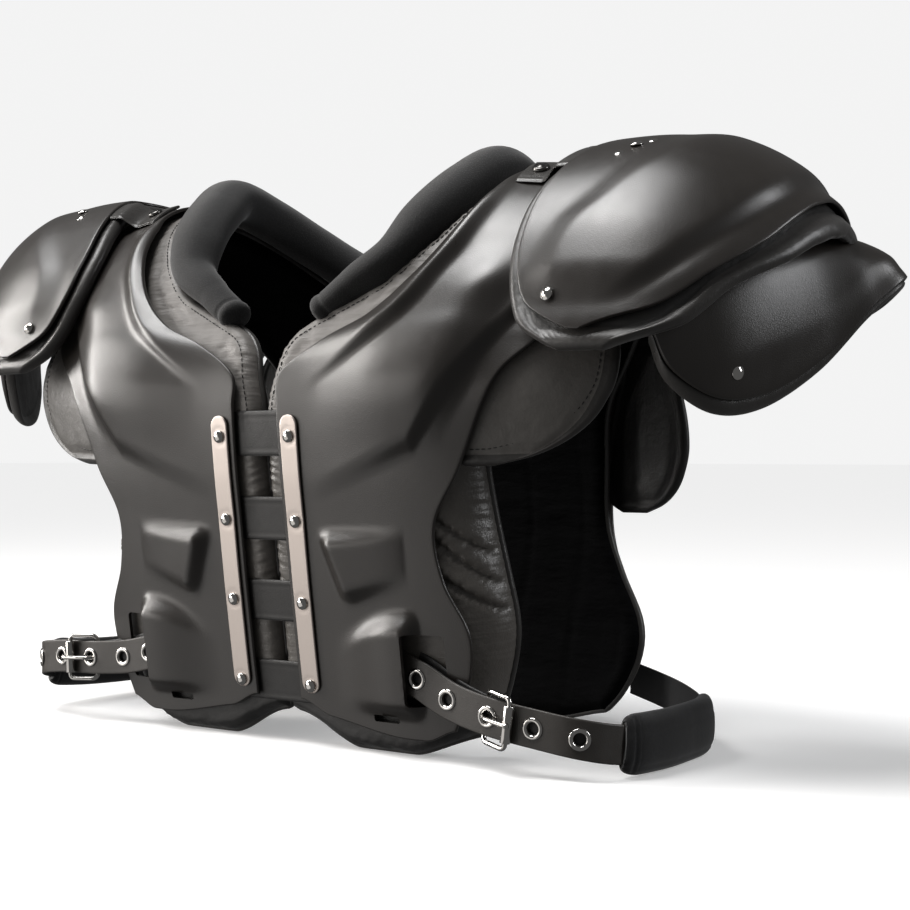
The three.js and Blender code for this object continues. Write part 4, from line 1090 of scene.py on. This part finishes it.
def flap_shape(x, s, side, distance):
    """A groove inside the rim round a slightly raised face."""
    return -1.1 * bump(distance - 7, 0.9) - 0.9 * bump(distance - 9.5, 3) + 0.4 * step(12, 40, distance)


def rim_pick(width):
    """Material 1 round the rim, material 0 inside it."""
    return lambda x, s, side, distance: np.where(distance < width, 1, 0)


FLAPS = (
    ("front_flap", FRONT_FLAP, NYLON_SMOOTH, BINDING, THREAD, "nylon"),
    ("rear_flap", REAR_FLAP, NYLON_BLACK, NYLON_BLACK, THREAD_BLACK, "nylon_black"),
)
for name, rows, cloth, rim_cloth, thread, slot in FLAPS:
    flap = Panel(*outline(rows), on_body, FLAP_MIDDLE, FLAP_WALL / 2, FLAP_RIM)
    for side, flip in SIDES:
        obj = flap.build(side + name + "_cover", rows=50, cols=32, materials=[cloth, rim_cloth],
                         shape=flap_shape, pick=rim_pick(FLAP_BINDING), flip=flip)
        fit(obj, [side + name], slot, fill=0.8)
    seam_x, seam_s = flap.loop(FLAP_STITCH_INSET)
    sew(name + "_stitches", *surface_path(flap, seam_x, seam_s, FLAP_STITCH_LIFT), thread)


# Link straps: back is 1 for the ones behind.
LINK_HALF = 38.0
LINK = columns("at height back", [
    [0.54, 0.078, 0], [0.393, 0.075, 0], [0.25, 0.072, 0], [0.108, 0.072, 0],
    [0.51, 0.09, 1], [0.36, 0.09, 1], [0.16, 0.09, 1],
])
LINK_EDGE = 0.9
v = np.concatenate([[0, 0.012, 0.04, 0.1], np.linspace(0.12, 0.88, 12), [0.9, 0.96, 0.988, 1]])
x = mix(-LINK_HALF, LINK_HALF, np.linspace(0, 1, 41))
hem = 0.75 * bump(np.abs(v - 0.5) - 0.37, 0.012)[:, None]
for i, share in enumerate(LINK["at"]):
    back = LINK["back"][i] == 1
    half = LINK["height"][i] * SHOULDER_HEIGHT / 2
    gx, gs = np.meshgrid(x, along_at(mix(part(share) - half, part(share) + half, v), back))
    edge_round = np.sqrt(clamp(np.minimum(v, 1 - v) * 2 * half / LINK_EDGE, 0.02, 1))[:, None]
    sides = []
    for way in (1, -1):
        lift = -2 * LAYER_GAP - WEBBING_WALL / 2 + way * WEBBING_WALL / 2 * edge_round
        p = on_body(0 * gx, gs, lift - (hem * 0.35 if way > 0 else 0) + 0 * gx)
        p[..., 0] = gx
        sides.append(p)
    uv = np.stack([gs * PROFILE_LENGTH, gx], -1).reshape(-1, 2)
    name = "back_link_strap_%d" % (i - 3) if back else "front_link_strap_%d" % (i + 1)
    add_mesh(name + "_band", *sheet(*sides), LINK_BAND, uv=np.concatenate([uv, uv]),
             replaced=[name], slot="webbing")

# Epaulets
EPAULET_STAND = 8.0
EPAULET_DROOP = 50.0
EPAULET_FROM = 0.585 * HALF_WIDTH
EPAULET_SPAN = 0.33 * HALF_WIDTH
EPAULET_HALF = [
    [0.298, 0.63, 0.645],
    [0.303, 0.6, 0.675],
    [0.313, 0.555, 0.742],
    [0.325, 0.532, 0.781],
    [0.345, 0.515, 0.82],
    [0.37, 0.508, 0.862],
    [0.405, 0.512, 0.893],
    [0.4595, 0.55, 0.91],
    [0.4974, 0.588, 0.912],
]
RIM = 0.024


def both_halves_of(rows):
    """Rows given up to the top, and their mirror image down the back."""
    return rows + [[2 * TOP_ALONG - row[0], *row[1:]] for row in rows[-2::-1]]


def epaulet_place(x, s, lift):
    """A point lift millimetres outside an epaulet's form, which droops towards its outer edge."""
    ny, nz = profile_normal(s)
    reach = clamp((x - EPAULET_FROM) / EPAULET_SPAN, 0, 1.2)
    droop = EPAULET_DROOP * reach ** 2.6
    slope = EPAULET_DROOP * 2.6 * reach ** 1.6 / EPAULET_SPAN
    k = 1 / np.hypot(1, slope)
    out = EPAULET_STAND + lift * k - droop
    return np.stack([x + lift * slope * k, profile_y(s) + ny * out, profile_z(s) + nz * out], -1)


ep_inner, ep_outer, ep_from, ep_to = outline(both_halves_of(EPAULET_HALF))
shifted = [[s - 0.011 * float(1 - step(0.3, 0.35, s)), a - RIM, b + 1.5 * RIM]
           for s, a, b in EPAULET_HALF]
liner_inner, liner_outer, liner_from, liner_to = outline(both_halves_of(shifted))


# Folds of an epaulet: a raised panel from its inner corner line to a ridge, then a groove.
EPAULET_FOLDS = columns("at corner ridge groove", both_halves_of([
    [0.312, 0.585, 0.655, 0.7],
    [0.3415, 0.588, 0.736, 0.763],
    [0.36, 0.594, 0.772, 0.797],
    [0.378, 0.615, 0.804, 0.825],
    [0.395, 0.651, 0.829, 0.847],
    [0.418, 0.689, 0.85, 0.867],
    [0.4475, 0.725, 0.864, 0.881],
    [0.4974, 0.75, 0.867, 0.886],
]))
EPAULET_RISE = 3.4
GROOVE_DEPTH = 4.6
RETURN_RISE, RETURN_WIDTH = 1.9, 9


def epaulet_relief(x, s):
    """The folds' height, faded out at the panel's front and back ends."""
    corner_x, ridge_x, groove_x = fold_lines(EPAULET_FOLDS, s)
    fade = step(0.0, 0.035, np.minimum(s - ep_from - 0.012, ep_to - 0.012 - s))
    flank = np.maximum(np.minimum(20, corner_x - ep_inner(s) - 2), 9)
    up = EPAULET_RISE * fade / flank
    down = GROOVE_DEPTH * fade / (groove_x - ridge_x)
    again = RETURN_RISE * fade / RETURN_WIDTH
    return (
        up * (hinge(x, corner_x - flank, 3.0) - hinge(x, corner_x, 1.6))
        - down * hinge(x, ridge_x, 1.8)
        + (down + again) * hinge(x, groove_x, 1.8)
        - again * hinge(x, groove_x + RETURN_WIDTH, 2.5)
    )


epaulet = Panel(ep_inner, ep_outer, ep_from, ep_to, epaulet_place,
                middle=SHELL_WALL / 2, half=SHELL_WALL / 2, rim=1.4)
liner = Panel(liner_inner, liner_outer, liner_from, liner_to, epaulet_place,
              middle=-LAYER_GAP - 2 - EPAULET_PAD_WALL / 2, half=EPAULET_PAD_WALL / 2, rim=5.0)
LINER_BINDING = 11


def liner_shape(x, s, side, distance):
    """A rolled rim with a stitched groove inside it."""
    ripple = np.sin((s * PROFILE_LENGTH + x) / 2.7 * 2 * np.pi / 1.6) * bump(distance - 9.5, 2.5)
    return 1.6 * bump(distance - 5, 4.5) - 1.0 * bump(distance - 11.5, 1.2) + 0.25 * ripple


for side, flip in SIDES:
    cap = epaulet.build(side + "epaulet_shell_skin", rows=128, cols=72, materials=[SHELL],
                        shape=lambda x, s, way, distance: way * epaulet_relief(x, s), flip=flip)
    fit(cap, [side + "epaulet_shell"], "shell")
    soft = liner.build(side + "epaulet_liner_cover", rows=150, cols=44, materials=[NYLON_BLACK, BINDING],
                       shape=liner_shape, pick=rim_pick(LINER_BINDING), flip=flip)
    fit(soft, [side + "epaulet_liner"], "lining", fill=0.9)

# Cups
CUP = columns("topX topY topZ rimX rimY rimZ", [
    [0.74, 0.07, 0.71, 0.73, 0.06, 0.69],
    [0.76, 0.11, 0.74, 0.75, 0.1, 0.63],
    [0.79, 0.18, 0.785, 0.8, 0.19, 0.587],
    [0.81, 0.27, 0.835, 0.85, 0.31, 0.598],
    [0.82, 0.38, 0.86, 0.91, 0.42, 0.655],
    [0.82, 0.48, 0.86, 0.965, 0.5, 0.733],
    [0.8, 0.57, 0.84, 0.995, 0.59, 0.778],
    [0.77, 0.67, 0.8, 0.94, 0.68, 0.752],
    [0.75, 0.75, 0.77, 0.86, 0.76, 0.725],
    [0.74, 0.8, 0.745, 0.79, 0.81, 0.71],
    [0.72, 0.83, 0.73, 0.74, 0.835, 0.705],
])
CUP_STATIONS = np.linspace(0, 1, len(CUP["topX"]))
CUP_BULGE = 13.0
CUP_CENTRE = np.array([0.5 * HALF_WIDTH, 0.45 * DEPTH, 0.45 * SHOULDER_HEIGHT])
SCALES = np.array([HALF_WIDTH, DEPTH, SHOULDER_HEIGHT])


CUP_LENGTH, CUP_HEIGHT = 330.0, 95.0
CUP_BINDING = 9.5


def cup_point(u, v, lift):
    """v runs from the front to the back of the rim and u from the top to the rim."""
    read = lambda names: np.stack([smooth(CUP_STATIONS, CUP[n], v) for n in names], -1) * SCALES
    top, rim = read(("topX", "topY", "topZ")), read(("rimX", "rimY", "rimZ"))
    middle = top + (rim - top) * u[..., None]
    away = unit(middle - CUP_CENTRE)
    bulge = CUP_BULGE * 4 * u * (1 - u) * np.sin(np.pi * clamp(v, 0.02, 0.98))
    return middle + away * (bulge + lift)[..., None]


def cup_panel(name, rows, cols, first, last, middle, half, rim, materials, shape, flip, pick=None):
    """A closed sheet over the cup from u first to u last, rounded at its rim."""
    v = spaced(rows, rim, CUP_LENGTH) / CUP_LENGTH
    u = spaced(cols, rim, CUP_HEIGHT) / CUP_HEIGHT
    gu, gv = np.meshgrid(first + (last - first) * u, v)
    from_ends = np.minimum(v, 1 - v) * CUP_LENGTH
    distance = np.minimum(np.minimum(u, 1 - u) * CUP_HEIGHT, from_ends[:, None])
    return cushion(name, (gu, gv, distance), (gu * CUP_HEIGHT, gv * CUP_LENGTH), cup_point, middle,
                   half * rounded(distance / rim), materials, shape, pick, flip)


def cup_shape(u, v, way, distance):
    """A raised middle that fades towards the rim."""
    raised = step(0.12, 0.3, v) * (1 - step(0.72, 0.9, v)) * (1 - step(0.72, 0.9, u))
    return way * 1.8 * raised


def cup_liner_shape(u, v, way, distance):
    """A rolled rim, flat under the shell's top."""
    roll = 1.4 * bump(distance - 4.5, 4) - 0.9 * bump(distance - 9.5, 1.2)
    return roll * step(0.3, 0.6, u)


for side, flip in SIDES:
    cup = cup_panel(side + "cup_shell_skin", rows=96, cols=44, first=0.0, last=1.0,
                    middle=CUP_WALL / 2, half=CUP_WALL / 2, rim=1.3,
                    materials=[SHELL], shape=cup_shape, flip=flip)
    fit(cup, [side + "cup_shell"], "shell")
    soft = cup_panel(side + "cup_liner_cover", rows=110, cols=40, first=0.05, last=1.07,
                     middle=-LAYER_GAP - 1.4 - CUP_PAD_WALL / 2, half=CUP_PAD_WALL / 2, rim=4.0,
                     materials=[NYLON_BLACK, BINDING], shape=cup_liner_shape, flip=flip,
                     pick=rim_pick(CUP_BINDING))
    fit(soft, [side + "cup_liner"], "lining", fill=0.9)


# Steel strips, rivets and snaps
STRIP_LOW, STRIP_TOP = part(0.095), part(0.572)
STRIP_RIM = 0.7
STRIP_TIP = 0.05
RIVET_HEIGHTS = [0.536, 0.392, 0.252, 0.109]
DISH_DEPTH, DISH_RADIUS, DISH_WIDTH = 0.25, 5.2, 1.0


def strip_mesh():
    """A strip with round ends, its rim rounded, dished a little round each rivet."""
    reach = STRIP_WIDTH / 2
    z = STRIP_LOW + spaced(110, reach, STRIP_TOP - STRIP_LOW)
    end = np.minimum(z - STRIP_LOW, STRIP_TOP - z)
    half = np.maximum(reach * rounded(end / reach), STRIP_TIP)
    w = np.sin(np.linspace(-np.pi / 2, np.pi / 2, 17))
    gx = STRIP_MIDDLE + half[:, None] * w
    gz = np.broadcast_to(z[:, None], gx.shape)
    from_edge = np.minimum(half[:, None] * (1 - np.abs(w)), end[:, None])
    thick = STRIP_WALL / 2 * rounded(from_edge / STRIP_RIM)
    from_rivets = [np.hypot(gx - STRIP_MIDDLE, gz - part(share)) for share in RIVET_HEIGHTS]
    dish = sum(DISH_DEPTH * bump(r - DISH_RADIUS, DISH_WIDTH) for r in from_rivets)
    s = along_at(gz)
    middle = SHELL_WALL + LAYER_GAP + STRIP_WALL / 2
    return sheet(on_body(gx, s, middle + thick - dish), on_body(gx, s, middle - thick), EDGES)


# Turned heads, as shares of the radius and the height. The last point stops short of the axis.
RIVET_PROFILE = [
    (0.98, 0), (1.04, 0.16), (0.98, 0.34), (0.84, 0.5), (0.66, 0.74), (0.42, 0.93), (0.2, 0.99), (0, 1),
]
SNAP_PROFILE = [
    (1, 0), (1.02, 0.3), (0.93, 0.62), (0.78, 0.8), (0.66, 0.62), (0.5, 0.7), (0.25, 0.95), (0, 1),
]
AXIS_GAP = 0.01


def head_of(node):
    """Foot, axis, radius and height of a CAD head, whose axis is its thinnest direction."""
    co = np.array([v.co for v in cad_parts[node].data.vertices]) * 1000
    co = np.unique(np.round(co, 4), axis=0)
    centre = co.mean(0)
    _, _, axes = np.linalg.svd(co - centre)
    axis = axes[2]
    height = (co - centre) @ axis
    radii = np.linalg.norm((co - centre) - height[:, None] * axis, axis=1)
    wide = radii > radii.max() * 0.93
    if height[wide].mean() > 0:
        axis, height = -axis, -height
    return centre + axis * height.min(), axis, radii.max(), np.ptp(height)


def add_head(node, ending, profile, material, sides):
    """A turned head in the place and size of a CAD node."""
    foot, axis, radius, rise = head_of(node)
    turned = [(max(radius * r, AXIS_GAP), rise * h) for r, h in profile]
    points, faces = revolve(turned, foot, axis, sides)
    points = points - np.array([0, FRONT_SHIFT, 0])
    add_mesh(node + ending, points, faces, material, replaced=[node], slot="chrome")


points, faces = strip_mesh()
for side, flip in SIDES:
    add_mesh(side + "steel_strip_bar", points, faces, STEEL, flip,
             replaced=[side + "steel_strip"], slot="steel")
    for name in ("strip_rivet_%d", "epaulet_rivet_%d"):
        for k in range(1, 5):
            add_head(side + name % k, "_head", RIVET_PROFILE, CHROME, 28)
    add_head(side + "cup_rivet", "_head", RIVET_PROFILE, CHROME, 28)
    add_head(side + "tab_snap", "_cap", SNAP_PROFILE, DARK_METAL, 32)

# Hinge tabs, from the shoulder to the inner edge of the epaulets
TAB_FROM, TAB_TO, TAB_INNER = 0.435, 0.47, 0.418
TAB_WALL = 2.4
v = np.concatenate([[0, 0.02, 0.06], np.linspace(0.1, 0.9, 14), [0.94, 0.98, 1]])
gu, gv = np.meshgrid(np.linspace(0, 1, 40), v)
s = mix(TAB_FROM, TAB_TO, gv)
x = mix(TAB_INNER * HALF_WIDTH, ep_inner(s) - 2 * LAYER_GAP, gu)
near = np.minimum(gv, 1 - gv) * (TAB_TO - TAB_FROM) * PROFILE_LENGTH
half = TAB_WALL / 2 * np.sqrt(clamp(near / 1.2, 0.02, 1))
groove = 0.3 * bump(near - 3.2, 0.5)
at_cap = step(0.4, 0.8, gu)[..., None]
sides = []
for way in (1, -1):
    outside = TAB_WALL / 2 + way * half - (groove if way > 0 else 0)
    on_shell = on_body(x, s, SHELL_WALL + 4 * LAYER_GAP + outside)
    sides.append(mix(on_shell, epaulet_place(x, s, outside - 1), at_cap))
points, faces = sheet(*sides)
for side, flip in SIDES:
    add_mesh(side + "hinge_tab_strap", points, faces, TAB, flip,
             replaced=[side + "hinge_tab"], slot="webbing")

# Belts, buckles, sleeves and rear webbing
BELT_TABLE = columns("x y leftZ rightZ", [
    [0.262, 0.04, 0.152, 0.15], [0.31, 0.04, 0.136, 0.138], [0.37, 0.04, 0.108, 0.126],
    [0.446, 0.032, 0.09, 0.12], [0.53, 0.036, 0.078, 0.117], [0.61, 0.06, 0.066, 0.107],
    [0.65, 0.14, 0.055, 0.092], [0.665, 0.28, 0.051, 0.08], [0.665, 0.42, 0.05, 0.075],
    [0.655, 0.56, 0.051, 0.074], [0.61, 0.68, 0.056, 0.076], [0.54, 0.79, 0.064, 0.08],
    [0.46, 0.88, 0.072, 0.085], [0.38, 0.955, 0.08, 0.09],
])
BELT_HOLES = [0.044, 0.106, 0.183, 0.26, 0.332]
BUCKLE_AT = 0.202
BELT_END = 0.46
SLEEVE_FROM, SLEEVE_TO = 0.4, 0.69
HOLE_RADIUS = 3.6
CURVE_STEPS = 1200
CURVE_LENGTH = 560  # about, and used only to lay out the weave
BAND_RIM = 0.9
RETURN_LIFT = -5.2
BACKING_LIFT = -1.7


def belt_curve(heights):
    p = np.stack([BELT_TABLE["x"] * HALF_WIDTH, BELT_TABLE["y"] * DEPTH, heights * SHOULDER_HEIGHT], -1)
    return catmull(p, CURVE_STEPS)


def frames(curve, t):
    """Place, direction along, face direction and upward direction of a belt at t."""
    i = clamp(np.asarray(t, float)) * (CURVE_STEPS - 1)
    grid = np.arange(CURVE_STEPS)
    p, a = read_off(curve, grid, i), unit(read_off(tangents(curve), grid, i))
    face = unit(np.cross(a, np.broadcast_to(UP, a.shape)))
    return p, a, face, unit(np.cross(face, a))


def band_mesh(curve, start, end, rows, width, wall, lift=0.0, rise=0.0, groove=0.0):
    """Points, faces and weave layout of a strap along a belt's curve, moved by lift and rise."""
    t = np.linspace(start, end, rows)
    p, _, face, high = (v[:, None] for v in frames(curve, t))
    near = BAND_RIM * (1 - np.cos(np.linspace(0, np.pi / 2, 5)))
    inner = np.linspace(near[-1] + 0.6, width - near[-1] - 0.6, 14)
    w = np.concatenate([near, inner, width - near[::-1]])
    from_edge = np.minimum(w, width - w)
    thick = wall / 2 * rounded(from_edge / BAND_RIM) - groove * bump(from_edge - 3.0, 0.6)
    lift, rise = np.reshape(lift, (-1, 1, 1)), np.reshape(rise, (-1, 1, 1))
    sides = []
    for way in (1, -1):
        crosswise = high * (w - width / 2)[None, :, None] + face * (way * thick[None, :, None])
        sides.append(p + crosswise + face * lift + high * rise)
    uv = np.stack(np.meshgrid(w, t * CURVE_LENGTH), -1).reshape(-1, 2)
    return *sheet(*sides, EDGES[2:]), np.concatenate([uv, uv])


def drill(centre, axis, radius, flip):
    p, f = revolve([(AXIS_GAP, -1.7), (radius, -1.7), (radius, 6), (AXIS_GAP, 6)], centre, axis, 28)
    return make("drill", p, outward(p, f), [], flip=flip)


GROMMET_PROFILE = [
    (6.6, 0.9), (6.7, 1.35), (6.3, 1.85), (5.4, 2.1), (4.5, 1.95), (3.9, 1.5), (3.7, 0.9), (3.65, 0),
]


def grommet(centre, axis):
    """A rolled ring on each face of the belt."""
    return combine([revolve(GROMMET_PROFILE, centre, axis * way, 32) for way in (1, -1)])


def rod(points, radius, sides=14):
    """A round wire through the points."""
    path = catmull(np.array(points, float), 60)
    up = np.broadcast_to(np.array([0.31, 0.42, 0.85]), path.shape)
    return sweep(path, up, radius, radius, sides)


def buckle_parts(curve):
    """The frame passes from its roller in front, over the belt's edges, to its bar behind."""
    p, a, face, high = (q[0] for q in frames(curve, [BUCKLE_AT]))
    tall, wire, bar_at, roller_at = BELT_WIDTH / 2 + 3.6, 1.6, -10.8, 9.0
    lift = BELT_WALL / 2 + LAYER_GAP + 1.9
    local = lambda along, up, out: p + a * along + high * up + face * (lift + out)
    lean = lambda along: mix(-2 * lift, 1.2, clamp((along - bar_at) / (roller_at - bar_at)) ** 0.6)
    outline_points = rounded_box((bar_at, -tall), (roller_at, tall), 3, 5)
    loop = np.array([local(along, up, lean(along)) for along, up in outline_points])
    closed = np.concatenate([loop, loop[:1]])
    run = walked(closed)
    loop = read_off(closed, run, np.linspace(0, run[-1], 140, endpoint=False))
    for _ in range(3):
        loop = (np.roll(loop, 1, 0) + 2 * loop + np.roll(loop, -1, 0)) / 4
    wire_frame = sweep(loop, np.broadcast_to(face, loop.shape), wire, wire, 14, closed=True)
    roller_profile = [(1.7, -11.2), (3.0, -11.2), (3.25, -10.8), (3.25, 10.8), (3.0, 11.2), (1.7, 11.2)]
    roller = revolve(roller_profile, local(roller_at, 0, 1.2), high, 32)
    prong_path = [(bar_at, 2 - 2 * lift), (bar_at + 0.4, -lift), (bar_at + 2.2, 1.0), (-3, 3.8),
                  (4, 5.2), (roller_at + 1.5, 6.0), (roller_at + 3.5, 5.2)]
    prong = rod([local(along, 0, out) for along, out in prong_path], 1.4)
    return combine([wire_frame, prong]), roller


SLEEVE_LENGTH = 165
SLEEVE_SQUARENESS = 2.4


def sleeve_mesh(curve):
    """A squarish padded tube round the belt, with two seams and a cuff at each open end."""
    rows, sides = 120, 48
    t = np.linspace(SLEEVE_FROM, SLEEVE_TO, rows)
    p, _, face, high = frames(curve, t)
    v = np.linspace(0, 1, rows)
    ends = np.minimum(v, 1 - v) * SLEEVE_LENGTH
    angle = np.linspace(0, 2 * np.pi, sides, endpoint=False)
    cx, cy = (np.sign(c) * np.abs(c) ** (2 / SLEEVE_SQUARENESS) for c in (np.cos(angle), np.sin(angle)))
    swell = 0.42 + 0.58 * rounded(ends / 24)
    tall = SLEEVE_WIDTH / 2 * (0.76 + 0.24 * rounded(ends / 16))
    seam = -(1.0 * bump(cy - 0.5, 0.05) + 0.8 * bump(cy + 0.72, 0.05)) * (np.cos(angle) > 0.2)
    cuff = 0.5 * bump(ends - 3, 2.2) - 0.9 * bump(ends - 7.5, 1.2)
    ripple = 0.25 * gathers(v * SLEEVE_LENGTH, 5.0) * bump(ends - 9, 5)
    out = SLEEVE_WALL / 2 * swell[:, None] * cx + (seam[None, :] + (cuff + ripple)[:, None]) * cx
    cloud = p[:, None] + face[:, None] * out[..., None] + high[:, None] * (tall[:, None] * cy)[..., None]
    ids = tube_ids(rows, sides)
    faces = [quads(ids)]
    points = cloud.reshape(-1, 3)
    for row, way in ((ids[0, :-1], 1), (ids[-1, :-1], -1)):
        start = len(points)
        middle = points[row].mean(0)
        points = np.concatenate([points, middle + (points[row] - middle) * 0.55])
        ring = np.arange(start, start + sides)
        nxt = np.roll(np.arange(sides), -1)
        faces.append(np.stack([row, row[nxt], ring[nxt], ring], -1)[:, ::way])
    return points, np.concatenate(faces)


for side, flip in SIDES:
    curve = belt_curve(BELT_TABLE[side[:-1] + "Z"])
    points, faces, uv = band_mesh(curve, 0, BELT_END, 200, BELT_WIDTH, BELT_WALL)
    belt = make(side + "belt_strap", points, outward(points, faces), [BELT], uv, flip=flip)
    spots = [tuple(q[0] for q in frames(curve, [t])) for t in BELT_HOLES]
    cut_out(belt, [drill(p, face, HOLE_RADIUS, flip) for p, _, face, _ in spots])
    fit(belt, [side + "belt"], "belt")
    rings = combine([grommet(p, face) for p, _, face, _ in spots])
    split_edges(add_mesh(side + "belt_grommets", *rings, CHROME, flip), 60)
    wire_frame, roller = buckle_parts(curve)
    add_mesh(side + "buckle_frame", *wire_frame, CHROME, flip, replaced=[side + "buckle"], slot="chrome")
    add_mesh(side + "buckle_roller", *roller, CHROME, flip, slot="chrome")
    rise = mix(5.0, 0.6, np.linspace(0, 1, 120))
    points, faces, uv = band_mesh(curve, 0.03, BUCKLE_AT - 0.016, 120, BELT_WIDTH - 3, 1.8, RETURN_LIFT, rise)
    add_mesh(side + "belt_return", points, faces, BELT_BACK, flip, uv)
    points, faces, uv = band_mesh(curve, 0.02, BELT_END - 0.03, 200, BELT_WIDTH - 0.8, 1.0, BACKING_LIFT)
    add_mesh(side + "belt_backing", points, faces, BELT_BACK, flip, uv)
    points, faces, uv = band_mesh(curve, BELT_END + 0.004, 1, 130, BELT_WIDTH, BELT_WALL, groove=0.25)
    add_mesh(side + "rear_webbing_band", points, faces, WEBBING, flip, uv,
             replaced=[side + "rear_webbing"], slot="webbing")
    add_mesh(side + "belt_sleeve_cover", *sleeve_mesh(curve), NEOPRENE_BLACK, flip,
             replaced=[side + "belt_sleeve"], slot="neoprene", fill=0.8)

# Camera, floor and light
CAMERA_AT = np.array([710.5, -800.1, 188.6])
CAMERA_TURN = math.radians(35)
FLOOR_HALF = 30
FLOOR_GLOW = 0.27
WORLD_LIGHT, WORLD_SHOWN = 0.12, 0.9
camera_data = bpy.data.cameras.new("camera")
camera_data.lens = 64.9
camera_data.sensor_width = 36
camera_data.clip_end = 100
camera = link("camera", camera_data)
camera.location = Vector(to_row(CAMERA_AT))
camera.rotation_euler = (math.radians(90), 0, CAMERA_TURN)
bpy.context.scene.camera = camera

floor_look = Look("pale_floor", (0.8, 0.8, 0.8), 0.7, Specular_IOR_Level=0.2)
floor_look.relief(floor_look.noise(3, 2), 0.02, 0.001)
floor_look.shader.inputs["Emission Color"].default_value = (1, 1, 1, 1)
floor_look.shader.inputs["Emission Strength"].default_value = FLOOR_GLOW
floor_mesh = bpy.data.meshes.new("floor")
floor_corners = [(x * FLOOR_HALF, y * FLOOR_HALF, 0) for x, y in ((-1, -1), (1, -1), (1, 1), (-1, 1))]
floor_mesh.from_pydata(floor_corners, [], [(0, 1, 2, 3)])
floor = link("floor", floor_mesh, [floor_look.material])
floor.visible_glossy = False
floor.visible_diffuse = False
floor.visible_shadow = False
# The world shows as a pale backdrop and lights the part more softly than it looks.
world = bpy.data.worlds.new("studio")
bpy.context.scene.world = world
world.use_nodes = True
backdrop = world.node_tree.nodes["Background"]
backdrop.inputs["Color"].default_value = (1, 1, 1, 1)
path_node = world.node_tree.nodes.new("ShaderNodeLightPath")
range_node = world.node_tree.nodes.new("ShaderNodeMapRange")
range_node.inputs["To Min"].default_value = WORLD_LIGHT
range_node.inputs["To Max"].default_value = WORLD_SHOWN
world.node_tree.links.new(path_node.outputs["Is Camera Ray"], range_node.inputs["Value"])
world.node_tree.links.new(range_node.outputs["Result"], backdrop.inputs["Strength"])


def aim(name, data, place, target):
    obj = link(name, data)
    obj.location = place
    way = Vector(target) - Vector(place)
    obj.rotation_euler = way.to_track_quat("-Z", "Y").to_euler()


sun = bpy.data.lights.new("high_sun", "SUN")
sun.energy = 2.3
sun.angle = math.radians(35)
aim("high_sun", sun, (-0.8, -0.5, 2.0), (0, 0, 0))
for name, place, target, size, power, tint in (
    ("left_box", (-1.6, -0.75, 0.75), (0, 0, 0.22), (0.4, 1.2), 29, (1, 0.965, 0.93)),
    ("front_box", (-1.5, -1.75, 0.35), (0, 0, 0.2), (1.2, 1.0), 10.5, (1, 0.96, 0.92)),
    ("bounce_box", (-0.9, -1.15, -0.55), (0, 0, 0.15), (1.8, 1.0), 4, (1, 0.97, 0.94)),
    ("top_box", (-0.3, -0.6, 1.7), (0.05, 0, 0.3), (0.9, 0.3), 9, (1, 0.98, 0.96)),
    ("right_box", (1.7, 0.35, 0.9), (0.2, 0, 0.25), (0.3, 1.0), 12, (0.97, 0.98, 1)),
):
    data = bpy.data.lights.new(name, "AREA")
    data.shape = "RECTANGLE"
    data.size, data.size_y = size
    data.energy = power
    data.color = tint
    aim(name, data, place, target)

bpy.context.scene.view_settings.view_transform = "Standard"
